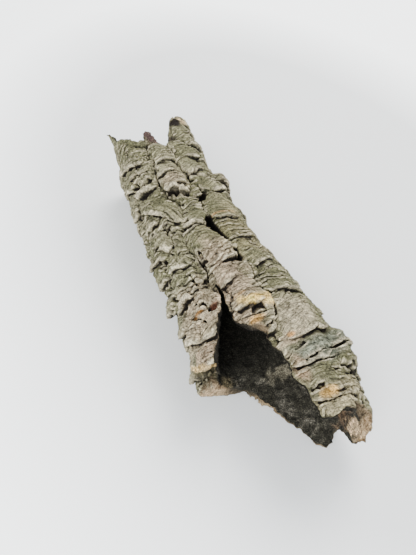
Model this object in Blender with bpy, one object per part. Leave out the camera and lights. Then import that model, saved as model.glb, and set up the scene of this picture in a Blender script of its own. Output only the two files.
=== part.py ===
"""A curled piece of cork bark: one broken tube, lying on its side, hollow from end to end.

The bark is drawn on a flat chart and rolled up. Across the chart runs the girth, in millimetres
from the crown line along the top (minus is the left side, plus the right). Up the chart runs the
length, in millimetres (minus is the open mouth, plus the far end). Cords of bark run along the
length, scales of bark lap over them towards the mouth, and cracks, hollows and holes are cut in.
"""

import bpy
import numpy as np

MM = 0.001

# Driving dimensions of the rolled bark, in millimetres
SECTION_POWER = 2.35
SECTION_HALF_WIDTH, SECTION_HALF_HEIGHT = 46.0, 34.0
WIDTH_STATIONS = [-168.0, -140.0, -100.0, -50.0, -28.0, 0.0, 75.0, 130.0, 172.0]
HALF_WIDTHS = [40.0, 44.5, 52.0, 47.0, 43.5, 43.5, 42.0, 41.0, 41.0]
CENTRE_SHIFTS = [-4.5, -3.0, -3.0, 0.0, -1.0, -2.5, 1.0, 4.0, 7.5]
HALF_HEIGHT_STATIONS, HALF_HEIGHTS = [-168.0, 0.0, 172.0], [33.0, 34.0, 35.0]
ORIGIN_SHIFT = (-3.5, 1.8)

# The grid that the chart is cut from, the share of its triangles kept, and the flat resting spots
LENGTH_LOW, LENGTH_HIGH = -175.0, 184.0
STEPS_ALONG, STEPS_ROUND = 148, 108
KEPT_SHARE = 0.228
FLAT_BELOW = 0.45
SNAP_REACH, SNAP_STEP, SNAP_LEAST_SLOPE = 0.3, 0.4, 0.3

# The broken ends, as (girth, length) points from the underside, over the crown, to the underside
NEAR_END = [
    (-131, -133), (-127, -128), (-123, -121.5), (-118.5, -111), (-113, -104), (-105, -101),
    (-97.4, -100), (-88, -98),
    (-79, -98), (-65, -97), (-54, -97), (-46, -99), (-41, -101), (-38.5, -97), (-35.8, -93),
    (-32.6, -87), (-28.5, -78.5), (-25.5, -73), (-22, -66.5), (-19.5, -61.5), (-18, -55),
    (-17.4, -47), (-16.6, -53), (-16, -59), (-16.6, -72), (-15.4, -79), (-12.5, -85), (-8, -88.5),
    (-4.5, -90.5), (-2, -95), (-2, -104), (-0.5, -112), (0.8, -118), (0, -124), (-1.2, -129),
    (0.3, -134), (1.6, -136), (0, -140), (-0.6, -145), (0.6, -150), (1, -156), (6, -158),
    (12, -158), (18, -156.5), (25, -158.5), (32, -155.5), (38, -158), (46, -158), (53, -160.5),
    (60, -164.5), (67, -168.5), (74, -168.5), (80, -170), (86, -168), (91, -162), (95, -157),
    (101, -156.5), (105.5, -161), (110, -161.5), (114, -160), (118, -157), (120, -151), (124, -142),
    (131, -133),
]
FAR_END = [
    (-131, 150), (-118, 146), (-104, 152), (-91, 148), (-79, 155), (-70, 150), (-60, 154),
    (-54, 157), (-51.5, 165), (-50.2, 173), (-49.2, 179.5), (-48, 176), (-46, 168), (-42.5, 158), (-34, 149),
    (-27, 143), (-21, 136), (-15, 131.5), (-12.5, 131), (-11, 140), (-8, 145), (-4, 140.5),
    (-0.5, 131), (2.6, 121.5), (8, 119.5), (11, 123), (14.5, 130), (19.5, 139.5), (24, 148),
    (28, 158), (32.5, 167), (39, 173.5), (46, 175), (52, 171), (57.5, 162), (62, 150), (72, 147),
    (85, 150), (100, 146), (115, 152), (131, 150),
]

# Holes right through the wall, as a stroke of (girth, length, radius) points
HOLES = [
    [(6.8, 14, 3.2), (5.2, 8, 4.2), (7.2, 1, 3.2), (8.8, -5, 2.2), (10.2, -12, 1.4)],
    [(9.6, -25, 2.6), (10.0, -33, 2.2)],
    [(16.0, 41, 2.2), (12.5, 38, 3.2), (9.5, 36, 2.2)],
    [(-37, 128, 1.3), (-34, 126.5, 1.5)],
]

# Cracks and hollows in the outside, as ([(girth, length), ...], half width, depth)
CRACKS = [
    ([(-50, 62), (-47.5, 52), (-45, 44), (-44, 36)], 2.2, 4.0),
    ([(-43, 31), (-40, 22)], 1.8, 4.0),
    ([(-37, 4), (-34, -6)], 1.8, 4.5),
    ([(-31, -30), (-30, -40)], 1.8, 4.0),
    ([(37, -155), (44, -156.5)], 2.0, 4.0),
    ([(-15, 106), (-13.5, 96), (-15.5, 84), (-18.3, 74), (-18, 62), (-17.5, 52)], 2.6, 5.5),
    ([(-16, 48), (-13, 42), (-9.5, 36)], 3.4, 4.5),
    ([(-9, 50), (-3, 55), (3, 55)], 2.6, 3.5),
    ([(-20, -21), (-18.8, -28), (-18, -35)], 2.6, 5.0),
    ([(6, -56), (7.5, -62), (9, -67), (10.5, -74), (11, -78)], 2.2, 4.5),
    ([(11, -78), (8, -85), (3, -91)], 1.6, 3.0),
    ([(6.8, -13), (8.4, -20), (8.6, -27)], 1.6, 5.0),
    ([(8.8, -33), (9.5, -44), (8.5, -54)], 1.6, 2.5),
    ([(9.5, 34), (7.5, 26), (6.4, 18)], 1.8, 3.0),
    ([(8, 118), (6.5, 100), (7, 84), (9.5, 70), (12, 52), (14, 42)], 2.0, 3.5),
    ([(9, -122.5), (20, -120.5), (33, -120), (46, -121)], 1.0, 4.0),
    ([(-1, -149.5), (12, -148.5), (26, -146)], 1.1, 3.0),
    ([(-46, -57), (-39, -62), (-33, -68)], 1.9, 3.5),
    ([(-56, -32), (-51, -36), (-45, -40)], 2.2, 4.0),
    ([(-43, 84), (-37, 77), (-30, 73), (-24, 77)], 3.0, 4.0),
    ([(15, 67), (22, 65.5), (27, 60), (30, 52)], 1.8, 4.0),
    ([(-43, -5), (-47, -9)], 2.6, 4.0),
    ([(-49, -19), (-54, -22)], 2.6, 4.0),
    ([(30, -132), (37, -138)], 1.5, 3.5),
    ([(3, -140.5), (6.5, -140.5), (10, -140)], 1.7, 3.0),
    ([(9, -149.7), (16, -150), (25, -148)], 1.0, 2.5),
    ([(-45, 120), (-33, 112.5), (-20, 109)], 1.5, 3.0),
    ([(-34, 96), (-30, 90), (-25, 88)], 1.9, 3.5),
    ([(-29, -63), (-25, -64)], 2.4, 3.5),
    ([(-45, 11), (-42, 8)], 2.6, 4.0),
    ([(-14, 17), (-11, 16)], 2.2, 4.5),
    ([(-31, 19), (-27, 17)], 1.9, 3.5),
    ([(26, -20), (31, -21)], 1.3, 2.5),
    ([(28, -46), (24, -47)], 1.5, 3.0),
]

# Lumps that stand out of the cords, as (girth, length, radius, height)
LUMPS = [
    (-118, -84, 13, 2.6),
    (117, -100, 13, 2.6),
    (-119, 96, 13, 2.6),
    (118, 104, 13, 2.6),
    (46, 60, 10.5, 9.0),
    (42, -114, 10, 6.5),
    (40, -127, 10, 5.5),
    (-25, -62, 4, 2.0),
    (-77, -95, 11, 4.5),
    (14, 129, 5, 4.0),
    (75, -163, 12, 3.0),
    (50, 112, 9, 3.0),
    (-60, 0, 9, 2.5),
    (-64, -30, 9, 2.5),
]

# Scales of bark laid over the cords, lapping towards the mouth, as
# (girth, length, half across, half along, turn in degrees, rise to the lip, height, fall to the sides)
SCALES = [
    (-33, 115, 18, 8, -28, 3.4, 2.6, 3.0),
    (-26, 84, 12, 16, -24, 4.6, 2.8, 5.0),
    (-21, 45, 25, 14, -50, 5.2, 2.6, 4.0),
    (-46, 95, 11, 11, -20, 4.0, 1.4, 4.0),
    (-52, 74, 12, 13, -25, 4.4, 1.4, 4.0),
    (-5, 108, 12, 8, 6, 2.4, 3.6, 6.0),
    (-6, 100, 12.5, 11, 4, 3.2, 4.8, 7.0),
    (-6.5, 86, 13.5, 12, -4, 3.6, 5.2, 7.5),
    (-5.5, 68, 14, 14, -4, 4.0, 5.6, 7.5),
    (-4, 37, 12, 9, 12, 3.0, 0.0, 2.0),
    (-4, 19, 12, 9, -12, 4.0, 2.4, 3.5),
    (-6, -12, 15, 19, 14, 3.6, 4.4, 4.5),
    (-6, -38, 15, 12, 8, 2.6, 4.0, 6.0),
    (0, -64, 16.5, 24, 0, 0.6, 4.8, 9.0),
    (1, -51, 15, 12, -8, 1.6, 5.2, 8.0),
    (-1, -63, 10, 11, -8, 2.4, 6.2, 4.5),
    (-4, -84, 8, 6, -16, 1.8, 3.4, 3.0),
    (-36, 16, 13, 11, -30, 4.6, 2.2, 4.0),
    (-31, -5, 12, 13, -20, 4.6, 2.2, 4.0),
    (-48, 13, 14, 12, -12, 5.0, 2.6, 5.0),
    (-55, -4, 16, 10, -18, 5.2, 2.6, 5.0),
    (-60, -24, 15, 12, -22, 5.0, 2.0, 4.5),
    (-42, -30, 13, 15, -14, 4.4, 2.2, 5.0),
    (-28, -65, 14, 13, 4, 4.4, 3.2, 3.5),
    (-42, -64, 12, 11, -30, 4.6, 2.0, 4.0),
    (-36, -84, 12, 13, -16, 3.8, 1.8, 3.0),
    (-56, -48, 14, 12, -20, 4.4, 1.4, 4.0),
    (-62, -78, 14, 13, -16, 4.2, 1.0, 3.0),
    (24, 26, 18, 15, -4, 2.6, 1.6, 3.0),
    (23, 2, 18, 15, 6, 2.8, 1.4, 3.0),
    (22, -26, 17, 15, 8, 3.2, 1.6, 3.0),
    (27, -54, 16, 16, -8, 3.0, 2.0, 3.0),
    (20, -88, 19, 18, 10, 3.4, 2.4, 4.5),
    (14, -113, 18, 9, 4, 2.2, 1.2, 1.5),
    (19, -137, 21, 12, -6, 2.4, 1.6, 2.0),
    (14, -153, 16, 9, 2, 2.6, 1.4, 1.5),
    (28, 58, 12, 14, 14, 3.8, 2.2, 5.0),
    (18, 82, 12, 12, 10, 3.4, 2.0, 5.0),
    (24, 104, 13, 13, 8, 3.8, 2.6, 5.0),
    (34, 124, 14, 12, 8, 4.2, 3.8, 7.0),
    (38, 142, 13, 11, 4, 4.2, 3.6, 7.0),
    (43, 158, 11, 10, 0, 3.6, 2.6, 6.0),
]
SCALE_POWER, SCALE_BOW, SCALE_FLARE = 3.4, 2.6, 1.6
SCALE_SLOPE, SCALE_LOW = 4.0, 0.4

# The seeded scales: the ranges that each one is drawn from, as shares of its cord's own values
FILLER_SEED = 7
FILLER_GAPS, FILLER_WIDTHS, FILLER_LENGTHS = (0.7, 1.5), (0.75, 1.15), (1.0, 1.4)
FILLER_RISES, FILLER_LEVELS = (0.6, 1.4), (-0.3, 0.9)
FILLER_SHIFT, FILLER_TURN = 3.0, 25.0
FILLER_FALL, FILLER_FLOOR, FILLER_CLEAR = 1.0, -1.6, 0.8
OVERHANG, OVERHANG_FROM, OVERHANG_MOST = 0.25, 0.6, 4.0

# Hollows, as (girth, length, half girth, half length, depth, how much deeper away from the mouth)
HOLLOWS = [
    (-24, -35, 5.5, 12, 3.2, 0.3),
    (0, -79.5, 5, 4.5, 4.0, 0.5),
    (30, 161, 4, 5, 3.5, 0.0),
    (-47.5, 29, 4, 5, 2.4, 0.5),
    (-13, 48, 6, 5, 2.6, 0.6),
    (1, 51, 7, 3, 1.8, 0.6),
    (-28, 15, 4, 3, 2.0, 0.5),
    (-18.5, -26, 3.5, 4.5, 2.6, 0.5),
    (-38, 80, 6, 6, 2.2, 0.4),
]

# Where the whole wall bends outward into a pointed tip, as (girth, length, reach, distance)
TIP_BEND = (-49, 184, 25, 6.0)

# Cords of bark, as (name, [(length, girth), ...], half width, height, spacing of its scales,
# rise of its scales, first length, last length)
FROM_END, TO_END = -200.0, 200.0
CROWN_RIGHT = [(-160, 14), (-105, 14), (-88, 20), (-70, 25), (-50, 24), (-30, 19), (0, 17), (125, 20)]
CORDS = [
    ("crown_right", CROWN_RIGHT, 13.0, 8.0, 13, 1.8, FROM_END, 126),
    ("shoulder_right", [(-160, 37), (0, 38), (110, 38)], 13.5, 7.5, 13, 2.0, FROM_END, 132),
    ("finger", [(110, 31), (145, 37), (170, 43)], 13.5, 10.0, 11, 3.2, 96, 171),
    ("flank_right", [(-160, 57), (160, 58)], 13.0, 6.5, 12, 2.8, FROM_END, TO_END),
    ("low_right", [(-160, 76), (160, 76)], 12.5, 6.5, 12, 3.0, FROM_END, TO_END),
    ("under_right", [(-160, 96), (160, 97)], 13.0, 6.0, 13, 2.6, FROM_END, TO_END),
    ("base_right", [(-160, 117), (160, 118)], 13.0, 6.0, 13, 2.4, FROM_END, TO_END),
    ("base_left", [(-160, -122), (160, -121)], 12.5, 6.0, 13, 2.4, FROM_END, TO_END),
    ("under_left", [(-160, -101), (160, -102)], 12.5, 6.0, 12, 2.6, FROM_END, TO_END),
    ("low_left", [(-160, -81), (160, -82)], 12.5, 6.5, 11, 3.2, FROM_END, TO_END),
    ("flank_left", [(-160, -62), (0, -63), (120, -62)], 12.5, 6.5, 10, 3.4, FROM_END, 122),
    ("shoulder_left", [(-160, -46), (0, -46), (60, -42), (120, -42)], 12.0, 7.0, 10, 3.2, FROM_END, 119),
    ("crown_left", [(-160, -30), (-40, -31), (0, -27), (120, -27)], 12.0, 7.5, 10, 3.0, FROM_END, 117),
    ("far_cord", [(50, -6), (75, -6.5), (100, -5), (122, -3)], 12.0, 10.5, 12, 1.6, 53, 117),
    ("far_left", [(100, -38), (178, -46)], 22.0, 5.0, 40, 0.6, 104, 184),
    ("middle_plate", [(-40, -8), (0, -10), (20, -12), (48, -12)], 13.5, 7.5, 12, 2.2, -42, 47),
    ("knob", [(-94, -5), (-78, -2.5), (-66, 0), (-50, 0), (-30, -6)], 14.5, 11.5, 10, 1.6, -98, -32),
]
GROUND_DEPTH = 7.5
GROUND_GIRTHS = [-130, -95, -75, -55, -6, 8, 20, 62, 85, 130]
GROUND_RISES = [3.5, 3.5, 2.2, 0.5, 0.0, 0.5, 3.6, 3.6, 3.5, 3.5]
CORD_END_ROUND = 9.0
CORD_BLEND = 1.6
CORD_WANDER, CORD_SWELL, CORD_RISE = 1.8, 0.16, 0.15
CORD_POWER = 2.3
CORD_WANDER_CELL, CORD_OWN_WANDER_CELL, CORD_SWELL_CELL, CORD_RISE_CELL = 26.0, 17.0, 13.0, 24.0
CORD_SWELL_GIRTH = 50.0

# How far out the edge of each kind of form lies, as a share of its listed size, and how fast it falls there
SCALE_REACH, CRACK_EDGE, LUMP_EDGE, PATCH_EDGE = 1.3, 1.3, 1.25, 1.4
HOLLOW_EDGE, HOLLOW_FALL = 2.2, 1.8

# Noise, as (cell, reach) pairs: what tears the scales' edges, swells the outside and roughens the inside
WARPS = [(13.0, 2.2), (5.5, 1.1), (2.6, 0.5)]
SWELLS = [(15.0, 0.9), (6.0, 0.5)]
INSIDE_SWELLS = [(22.0, 0.8), (7.0, 0.4)]
RAGGED_EDGE = [(7.0, 1.3), (3.2, 0.8)]
HOLE_RAGGED = 0.35
LATTICE_MARGIN = 4

# Seeds of the noise, apart by at least the number of layers of each
EDGE_SEED, INSIDE_SEED, WANDER_SEED, GIRTH_WARP_SEED, LENGTH_WARP_SEED, SWELL_SEED = 11, 17, 21, 31, 35, 41
CORD_SEED, CORD_SEED_SPREAD = 100, 97
RISE_SEED, RISE_SEED_STEP = 132, 5

# The inside: how far it lies below the rolled section, and where that differs
INSIDE_DEPTH = 13.0
INSIDE_PATCHES = [
    (-80, -110, 46, 55, 2.0),
    (-125, -135, 34, 45, -4.0),
    (110, -140, 34, 45, -3.5),
    (22, -135, 34, 48, -1.5),
    (-28, 150, 30, 30, -3.0),
    (-3, 138, 12, 20, -1.5),
]
RIM_TAPER, RIM_OUTER_DROP = 6.0, 1.6
THINNING_REACH = 14.0
NEAR_THINNING_GIRTHS = [-130, -60, -48, -40, -20, 5, 30, 45, 60, 130]
NEAR_THINNING = [2.0, 0.0, 0.0, 8.5, 8.5, 8.0, 6.0, 2.0, 2.0, 2.0]
FAR_THINNING = 6.0
THINNEST_WALL = 2.6

BARK_COLOUR, BARK_ROUGHNESS = (0.31, 0.29, 0.21, 1.0), 0.9


def section_table(count=4000):
    """(share of the girth, angle) pairs that measure the mean section by its arc length."""
    angles = np.linspace(np.pi / 2, -3 * np.pi / 2, count)
    x, z = section_point(angles, SECTION_HALF_WIDTH, SECTION_HALF_HEIGHT)
    lengths = np.concatenate([[0.0], np.cumsum(np.hypot(np.diff(x), np.diff(z)))])
    return lengths, angles


def section_point(angles, half_width, half_height):
    """Points of the flattened oval, measured from its centre."""
    power = 2.0 / SECTION_POWER
    cosine, sine = np.cos(angles), np.sin(angles)
    x = half_width * np.sign(cosine) * np.abs(cosine) ** power
    z = half_height * np.sign(sine) * np.abs(sine) ** power
    return x, z


ARC_LENGTHS, ARC_ANGLES = section_table()
GIRTH = ARC_LENGTHS[-1]


def rolled(girth, length, offset):
    """Chart points rolled onto the oval, moved out by offset, in millimetres."""
    angles = np.interp(girth % GIRTH, ARC_LENGTHS, ARC_ANGLES)
    half_width = np.interp(length, WIDTH_STATIONS, HALF_WIDTHS)
    half_height = np.interp(length, HALF_HEIGHT_STATIONS, HALF_HEIGHTS)
    x, z = section_point(angles, half_width, half_height)
    normal_x = np.sign(x) * np.abs(x / half_width) ** (SECTION_POWER - 1) / half_width
    normal_z = np.sign(z) * np.abs(z / half_height) ** (SECTION_POWER - 1) / half_height
    size = np.hypot(normal_x, normal_z)
    x = x + offset * normal_x / size + np.interp(length, WIDTH_STATIONS, CENTRE_SHIFTS)
    z = z + offset * normal_z / size + half_height
    return np.stack([x, length, z], axis=-1)


def wrapped(girth):
    """A girth difference brought to the short way round."""
    return (girth + GIRTH / 2) % GIRTH - GIRTH / 2


def smooth_step(value):
    value = np.clip(value, 0.0, 1.0)
    return value * value * (3 - 2 * value)


def blended_top(first, second, reach):
    """The higher of two heights, with the crease between them rounded."""
    near = np.maximum(reach - np.abs(first - second), 0)
    return np.maximum(first, second) + near * near / (4 * reach)


def wrapped_noise(girth, length, cell, seed):
    """Smooth random values from -1 to 1 on a lattice of that cell, with no seam round the girth."""
    columns = max(3, round(GIRTH / cell))
    rows = int((LENGTH_HIGH - LENGTH_LOW) / cell) + 3 * LATTICE_MARGIN
    lattice = np.random.default_rng(seed).uniform(-1, 1, (rows, columns))
    across = (girth / GIRTH % 1.0) * columns
    up = np.clip((length - LENGTH_LOW) / cell + LATTICE_MARGIN, 0, rows - 1.001)
    column, row = np.floor(across).astype(int), np.floor(up).astype(int)
    right, above = smooth_step(across - column), smooth_step(up - row)
    column, beside = column % columns, (column + 1) % columns
    low = lattice[row, column] * (1 - right) + lattice[row, beside] * right
    high = lattice[row + 1, column] * (1 - right) + lattice[row + 1, beside] * right
    return low * (1 - above) + high * above


def layered_noise(girth, length, layers, seed):
    """The sum of noise at several sizes, from (cell, reach) pairs."""
    return sum(reach * wrapped_noise(girth, length, cell, seed + n) for n, (cell, reach) in enumerate(layers))


def distance_to_stroke(girth, length, points):
    """Distance on the chart to a stroke of (girth, length, radius) points, less the radius there."""
    nearest = np.full(np.shape(girth), np.inf)
    for (g0, l0, r0), (g1, l1, r1) in zip(points[:-1], points[1:]):
        across, up = wrapped(girth - g0), length - l0
        run, rise = g1 - g0, l1 - l0
        share = np.clip((across * run + up * rise) / (run * run + rise * rise), 0, 1)
        gap = np.hypot(across - share * run, up - share * rise) - (r0 + share * (r1 - r0))
        nearest = np.minimum(nearest, gap)
    return nearest


def side_of_end(girth, length, outline):
    """Signed distance to a broken end: plus above the outline on the chart, minus below it."""
    girth = wrapped(girth)
    points = np.array(outline, float)
    distance = distance_to_stroke(girth, length, [(g, l, 0.0) for g, l in points])
    crossings = np.zeros(np.shape(girth), int)
    for (g0, l0), (g1, l1) in zip(points[:-1], points[1:]):
        spans = (g0 <= girth) != (g1 <= girth)
        height = l0 + (girth - g0) * (l1 - l0) / (g1 - g0 if g1 != g0 else 1.0)
        crossings += spans & (height < length)
    return np.where(crossings % 2 == 1, distance, -distance)


def material_depth(girth, length):
    """How far a chart point lies inside the bark, in millimetres, and minus where there is none."""
    ragged = layered_noise(girth, length, RAGGED_EDGE, EDGE_SEED)
    depth = side_of_end(girth, length, NEAR_END)
    depth = np.minimum(depth, -side_of_end(girth, length, FAR_END)) + ragged
    for stroke in HOLES:
        depth = np.minimum(depth, distance_to_stroke(girth, length, stroke) + HOLE_RAGGED * ragged)
    return depth


def thinning(girth, length):
    """How much thinner the wall gets towards its broken ends, in millimetres, from the inside."""
    near = smooth_step(1 - side_of_end(girth, length, NEAR_END) / THINNING_REACH)
    far = smooth_step(1 + side_of_end(girth, length, FAR_END) / THINNING_REACH)
    near_share = np.interp(wrapped(girth), NEAR_THINNING_GIRTHS, NEAR_THINNING)
    return np.maximum(near_share * near, FAR_THINNING * far)


def cord_profile(girth, length, cord):
    """The cord's rounded profile, from 0 outside it to 1 along its middle."""
    _, line, half_width, height, _, _, first, last = cord
    lengths, girths = zip(*line)
    seed = CORD_SEED + int(10 * height + girths[0]) % CORD_SEED_SPREAD
    crown = np.zeros(np.shape(girth))
    centre = np.interp(length, lengths, girths)
    centre = centre + CORD_WANDER * wrapped_noise(crown, length, CORD_WANDER_CELL, WANDER_SEED)
    centre = centre + CORD_WANDER * wrapped_noise(crown, length, CORD_OWN_WANDER_CELL, seed)
    swell = 1 + CORD_SWELL * wrapped_noise(crown + CORD_SWELL_GIRTH, length, CORD_SWELL_CELL, seed)
    across = wrapped(girth - centre) / (half_width * swell)
    profile = np.sqrt(np.clip(1 - np.abs(across) ** CORD_POWER, 0, 1))
    inside = np.clip(np.minimum(length - first, last - length) / CORD_END_ROUND, 0, 1)
    return profile * np.sqrt(inside * (2 - inside))


def ragged_place(girth, length):
    """Chart points shifted by noise at three sizes, so that edges drawn there come out torn."""
    moved_girth = girth + layered_noise(girth, length, WARPS, GIRTH_WARP_SEED)
    return moved_girth, length + layered_noise(girth, length, WARPS, LENGTH_WARP_SEED)


def scale_place(girth, length, scale):
    """Where points lie on a scale: how far out (1 is its edge), the share down to its lip, and across it."""
    middle_girth, middle_length, half_across, half_along, turn = scale[:5]
    cosine, sine = np.cos(np.radians(turn)), np.sin(np.radians(turn))
    right, up = wrapped(girth - middle_girth), length - middle_length
    across = (cosine * right + sine * up) / half_across
    along = (cosine * up - sine * right + SCALE_BOW * across**2) / half_along
    out = (np.abs(across) ** SCALE_POWER + np.abs(along) ** SCALE_POWER) ** (1 / SCALE_POWER)
    return out, (1 - along) / 2, across


def filler_scales():
    """Seeded scales along every cord, except where one of the listed scales lies."""
    draw = np.random.default_rng(FILLER_SEED)
    made = []
    for _, line, half_width, _, spacing, rise, first, last in CORDS:
        lengths, girths = zip(*line)
        place = max(first, LENGTH_LOW) + spacing * draw.uniform(0, 1)
        while place < min(last, LENGTH_HIGH):
            gap = spacing * draw.uniform(*FILLER_GAPS)
            girth = float(np.interp(place, lengths, girths)) + draw.uniform(-FILLER_SHIFT, FILLER_SHIFT)
            half_across = half_width * draw.uniform(*FILLER_WIDTHS)
            half_along = gap * draw.uniform(*FILLER_LENGTHS)
            turn = draw.uniform(-FILLER_TURN, FILLER_TURN)
            lift = rise * draw.uniform(*FILLER_RISES)
            level = draw.uniform(*FILLER_LEVELS)
            if all(scale_place(girth, place, scale)[0] > FILLER_CLEAR for scale in SCALES):
                made.append((girth, place, half_across, half_along, turn, lift, level, FILLER_FALL))
            place += gap
    return made


def lay_scales(height, girth, length, scales):
    """Lays scales over a field of heights, each point keeping whichever is higher."""
    for scale in scales:
        middle_girth, middle_length, half_across, half_along, _, rise, level, fall = scale
        reach = SCALE_REACH * max(half_across, half_along) + SCALE_BOW
        near = (np.abs(wrapped(girth - middle_girth)) < reach) & (np.abs(length - middle_length) < reach)
        out, share, across = scale_place(girth[near], length[near], scale)
        past = np.maximum(out - 1, 0) * min(half_across, half_along)
        lift = rise * (np.clip(share, 0, 1) ** SCALE_FLARE - SCALE_LOW)
        top = level + lift - fall * across**2 - SCALE_SLOPE * past
        height[near] = np.maximum(top, height[near])


def relief(girth, length):
    """Outward height of the outside at chart points."""
    girth, length = ragged_place(girth, length)
    height = -GROUND_DEPTH + np.interp(wrapped(girth), GROUND_GIRTHS, GROUND_RISES)
    for number, cord in enumerate(CORDS):
        profile = cord_profile(girth, length, cord)
        uneven = wrapped_noise(girth, length, CORD_RISE_CELL, RISE_SEED + RISE_SEED_STEP * number)
        tall = cord[3] * (1 + CORD_RISE * uneven)
        cord_height = np.where(profile > 0, tall * profile, -2 * CORD_BLEND) - GROUND_DEPTH
        height = blended_top(height, cord_height, CORD_BLEND)
    layer = np.full(np.shape(girth), FILLER_FLOOR)
    lay_scales(layer, girth, length, filler_scales())
    height = height + layer
    lay_scales(height, girth, length, SCALES)
    for middle_girth, middle_length, half_girth, half_length, depth, lean in HOLLOWS:
        across = wrapped(girth - middle_girth) / half_girth
        along = (length - middle_length) / half_length
        bowl = smooth_step(HOLLOW_EDGE - HOLLOW_FALL * np.hypot(across, along))
        height = height - depth * bowl * (1 + lean * along)
    for lump_girth, lump_length, radius, rise in LUMPS:
        gap = np.hypot(wrapped(girth - lump_girth), length - lump_length) / radius
        height = height + rise * smooth_step(LUMP_EDGE - gap)
    return height + layered_noise(girth, length, SWELLS, SWELL_SEED)


def overhang(height, rows_across):
    """How far the grid's points lean out over a drop beside them: (round the girth, along it), in mm."""
    lower = height.copy()
    left, right = height.copy(), height.copy()
    for step in range(1, rows_across + 1):
        lower[step:] = np.minimum(lower[step:], height[:-step])
        left = np.minimum(left, np.roll(height, step, axis=1))
        right = np.minimum(right, np.roll(height, -step, axis=1))
    drops = [np.clip(height - side - OVERHANG_FROM, 0, OVERHANG_MOST) for side in (lower, left, right)]
    return OVERHANG * (drops[2] - drops[1]), -OVERHANG * drops[0]


def cuts(girth, length):
    """How deep the cracks cut the outside at chart points, in millimetres."""
    depth = np.zeros(np.shape(girth))
    for points, half_width, deepest in CRACKS:
        gap = distance_to_stroke(girth, length, [(g, l, 0.0) for g, l in points])
        depth = np.maximum(depth, deepest * smooth_step(CRACK_EDGE - gap / half_width))
    return depth


def inside_depth(girth, length):
    """How far the inside lies below the rolled section, in millimetres."""
    depth = np.full(np.shape(girth), INSIDE_DEPTH)
    for patch_girth, patch_length, reach_girth, reach_length, change in INSIDE_PATCHES:
        gap = np.hypot(wrapped(girth - patch_girth) / reach_girth, (length - patch_length) / reach_length)
        depth = depth + change * smooth_step(PATCH_EDGE - gap)
    return depth + layered_noise(girth, length, INSIDE_SWELLS, INSIDE_SEED)


def surfaces(girth, length, depth_in):
    """Rolled points of the outside and the inside, in millimetres, the underside flattened at 0."""
    height = relief(girth, length) - cuts(girth, length)
    rim = (1 - np.clip(depth_in / RIM_TAPER, 0, 1)) ** 2
    height = height - RIM_OUTER_DROP * rim
    inside = np.maximum(inside_depth(girth, length) - thinning(girth, length), THINNEST_WALL + 1)
    height = np.maximum(height, THINNEST_WALL - inside)
    push_girth, push_length = overhang(height, 1)
    bend = tip_bend(girth, length)
    outer = rolled(girth + push_girth, length + push_length, height + bend)
    inner = rolled(girth, length, bend - inside)
    outer[..., 2] = np.maximum(outer[..., 2], 0.0)
    return outer, inner


def tip_bend(girth, length):
    """How far the whole wall bends outward, in millimetres, at the pointed tip of the far end."""
    tip_girth, tip_length, reach, distance = TIP_BEND
    return distance * smooth_step(1 - np.hypot(wrapped(girth - tip_girth), length - tip_length) / reach)


def clean_cells(kept):
    """Fills the cells that would touch others at a corner alone, and drops loose scraps of cells."""
    while True:
        a, b = kept[:-1], kept[1:]
        c, d = np.roll(a, -1, axis=1), np.roll(b, -1, axis=1)
        slash = a & d & ~b & ~c
        backslash = b & c & ~a & ~d
        if not (slash | backslash).any():
            return kept
        kept[1:][slash] = True
        kept[:-1][backslash] = True


def largest_patch(kept):
    """The cells joined edge to edge to the patch that starts at the middle of the underside."""
    found = np.zeros_like(kept)
    found[kept.shape[0] // 2, kept.shape[1] // 2] = True
    while True:
        grown = found | np.roll(found, 1, axis=1) | np.roll(found, -1, axis=1)
        grown[1:] |= found[:-1]
        grown[:-1] |= found[1:]
        grown &= kept
        if (grown == found).all():
            return found
        found = grown


def chart_grid():
    """Girth and length of the grid's corners, and the cells that hold bark."""
    girths = np.arange(STEPS_ROUND) * GIRTH / STEPS_ROUND
    lengths = np.linspace(LENGTH_LOW, LENGTH_HIGH, STEPS_ALONG + 1)
    girth, length = np.meshgrid(girths, lengths)
    middle_girth = girth[:-1] + GIRTH / STEPS_ROUND / 2
    middle_length = (length[:-1] + length[1:]) / 2
    kept = clean_cells(material_depth(middle_girth, middle_length) > 0)
    return girth, length, largest_patch(kept)


def snapped_to_edge(girth, length, on_edge):
    """Moves the corners on the bark's edge to where the bark ends, within most of a cell."""
    reach = SNAP_REACH * GIRTH / STEPS_ROUND
    step = SNAP_STEP
    g, l = girth[on_edge], length[on_edge]
    for _ in range(2):
        depth = material_depth(g, l)
        slope_g = (material_depth(g + step, l) - material_depth(g - step, l)) / (2 * step)
        slope_l = (material_depth(g, l + step) - material_depth(g, l - step)) / (2 * step)
        scale = depth / np.maximum(slope_g**2 + slope_l**2, SNAP_LEAST_SLOPE)
        g = g - np.clip(scale * slope_g, -reach, reach)
        l = l - np.clip(scale * slope_l, -reach, reach)
    girth[on_edge], length[on_edge] = g, l


def edge_corners(kept):
    """The grid corners that touch both bark and no bark."""
    rows = np.zeros((kept.shape[0] + 2, kept.shape[1]), bool)
    rows[1:-1] = kept
    below, above = rows[:-1], rows[1:]
    around = [below, np.roll(below, 1, axis=1), above, np.roll(above, 1, axis=1)]
    return np.any(around, axis=0) & ~np.all(around, axis=0)


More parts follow.
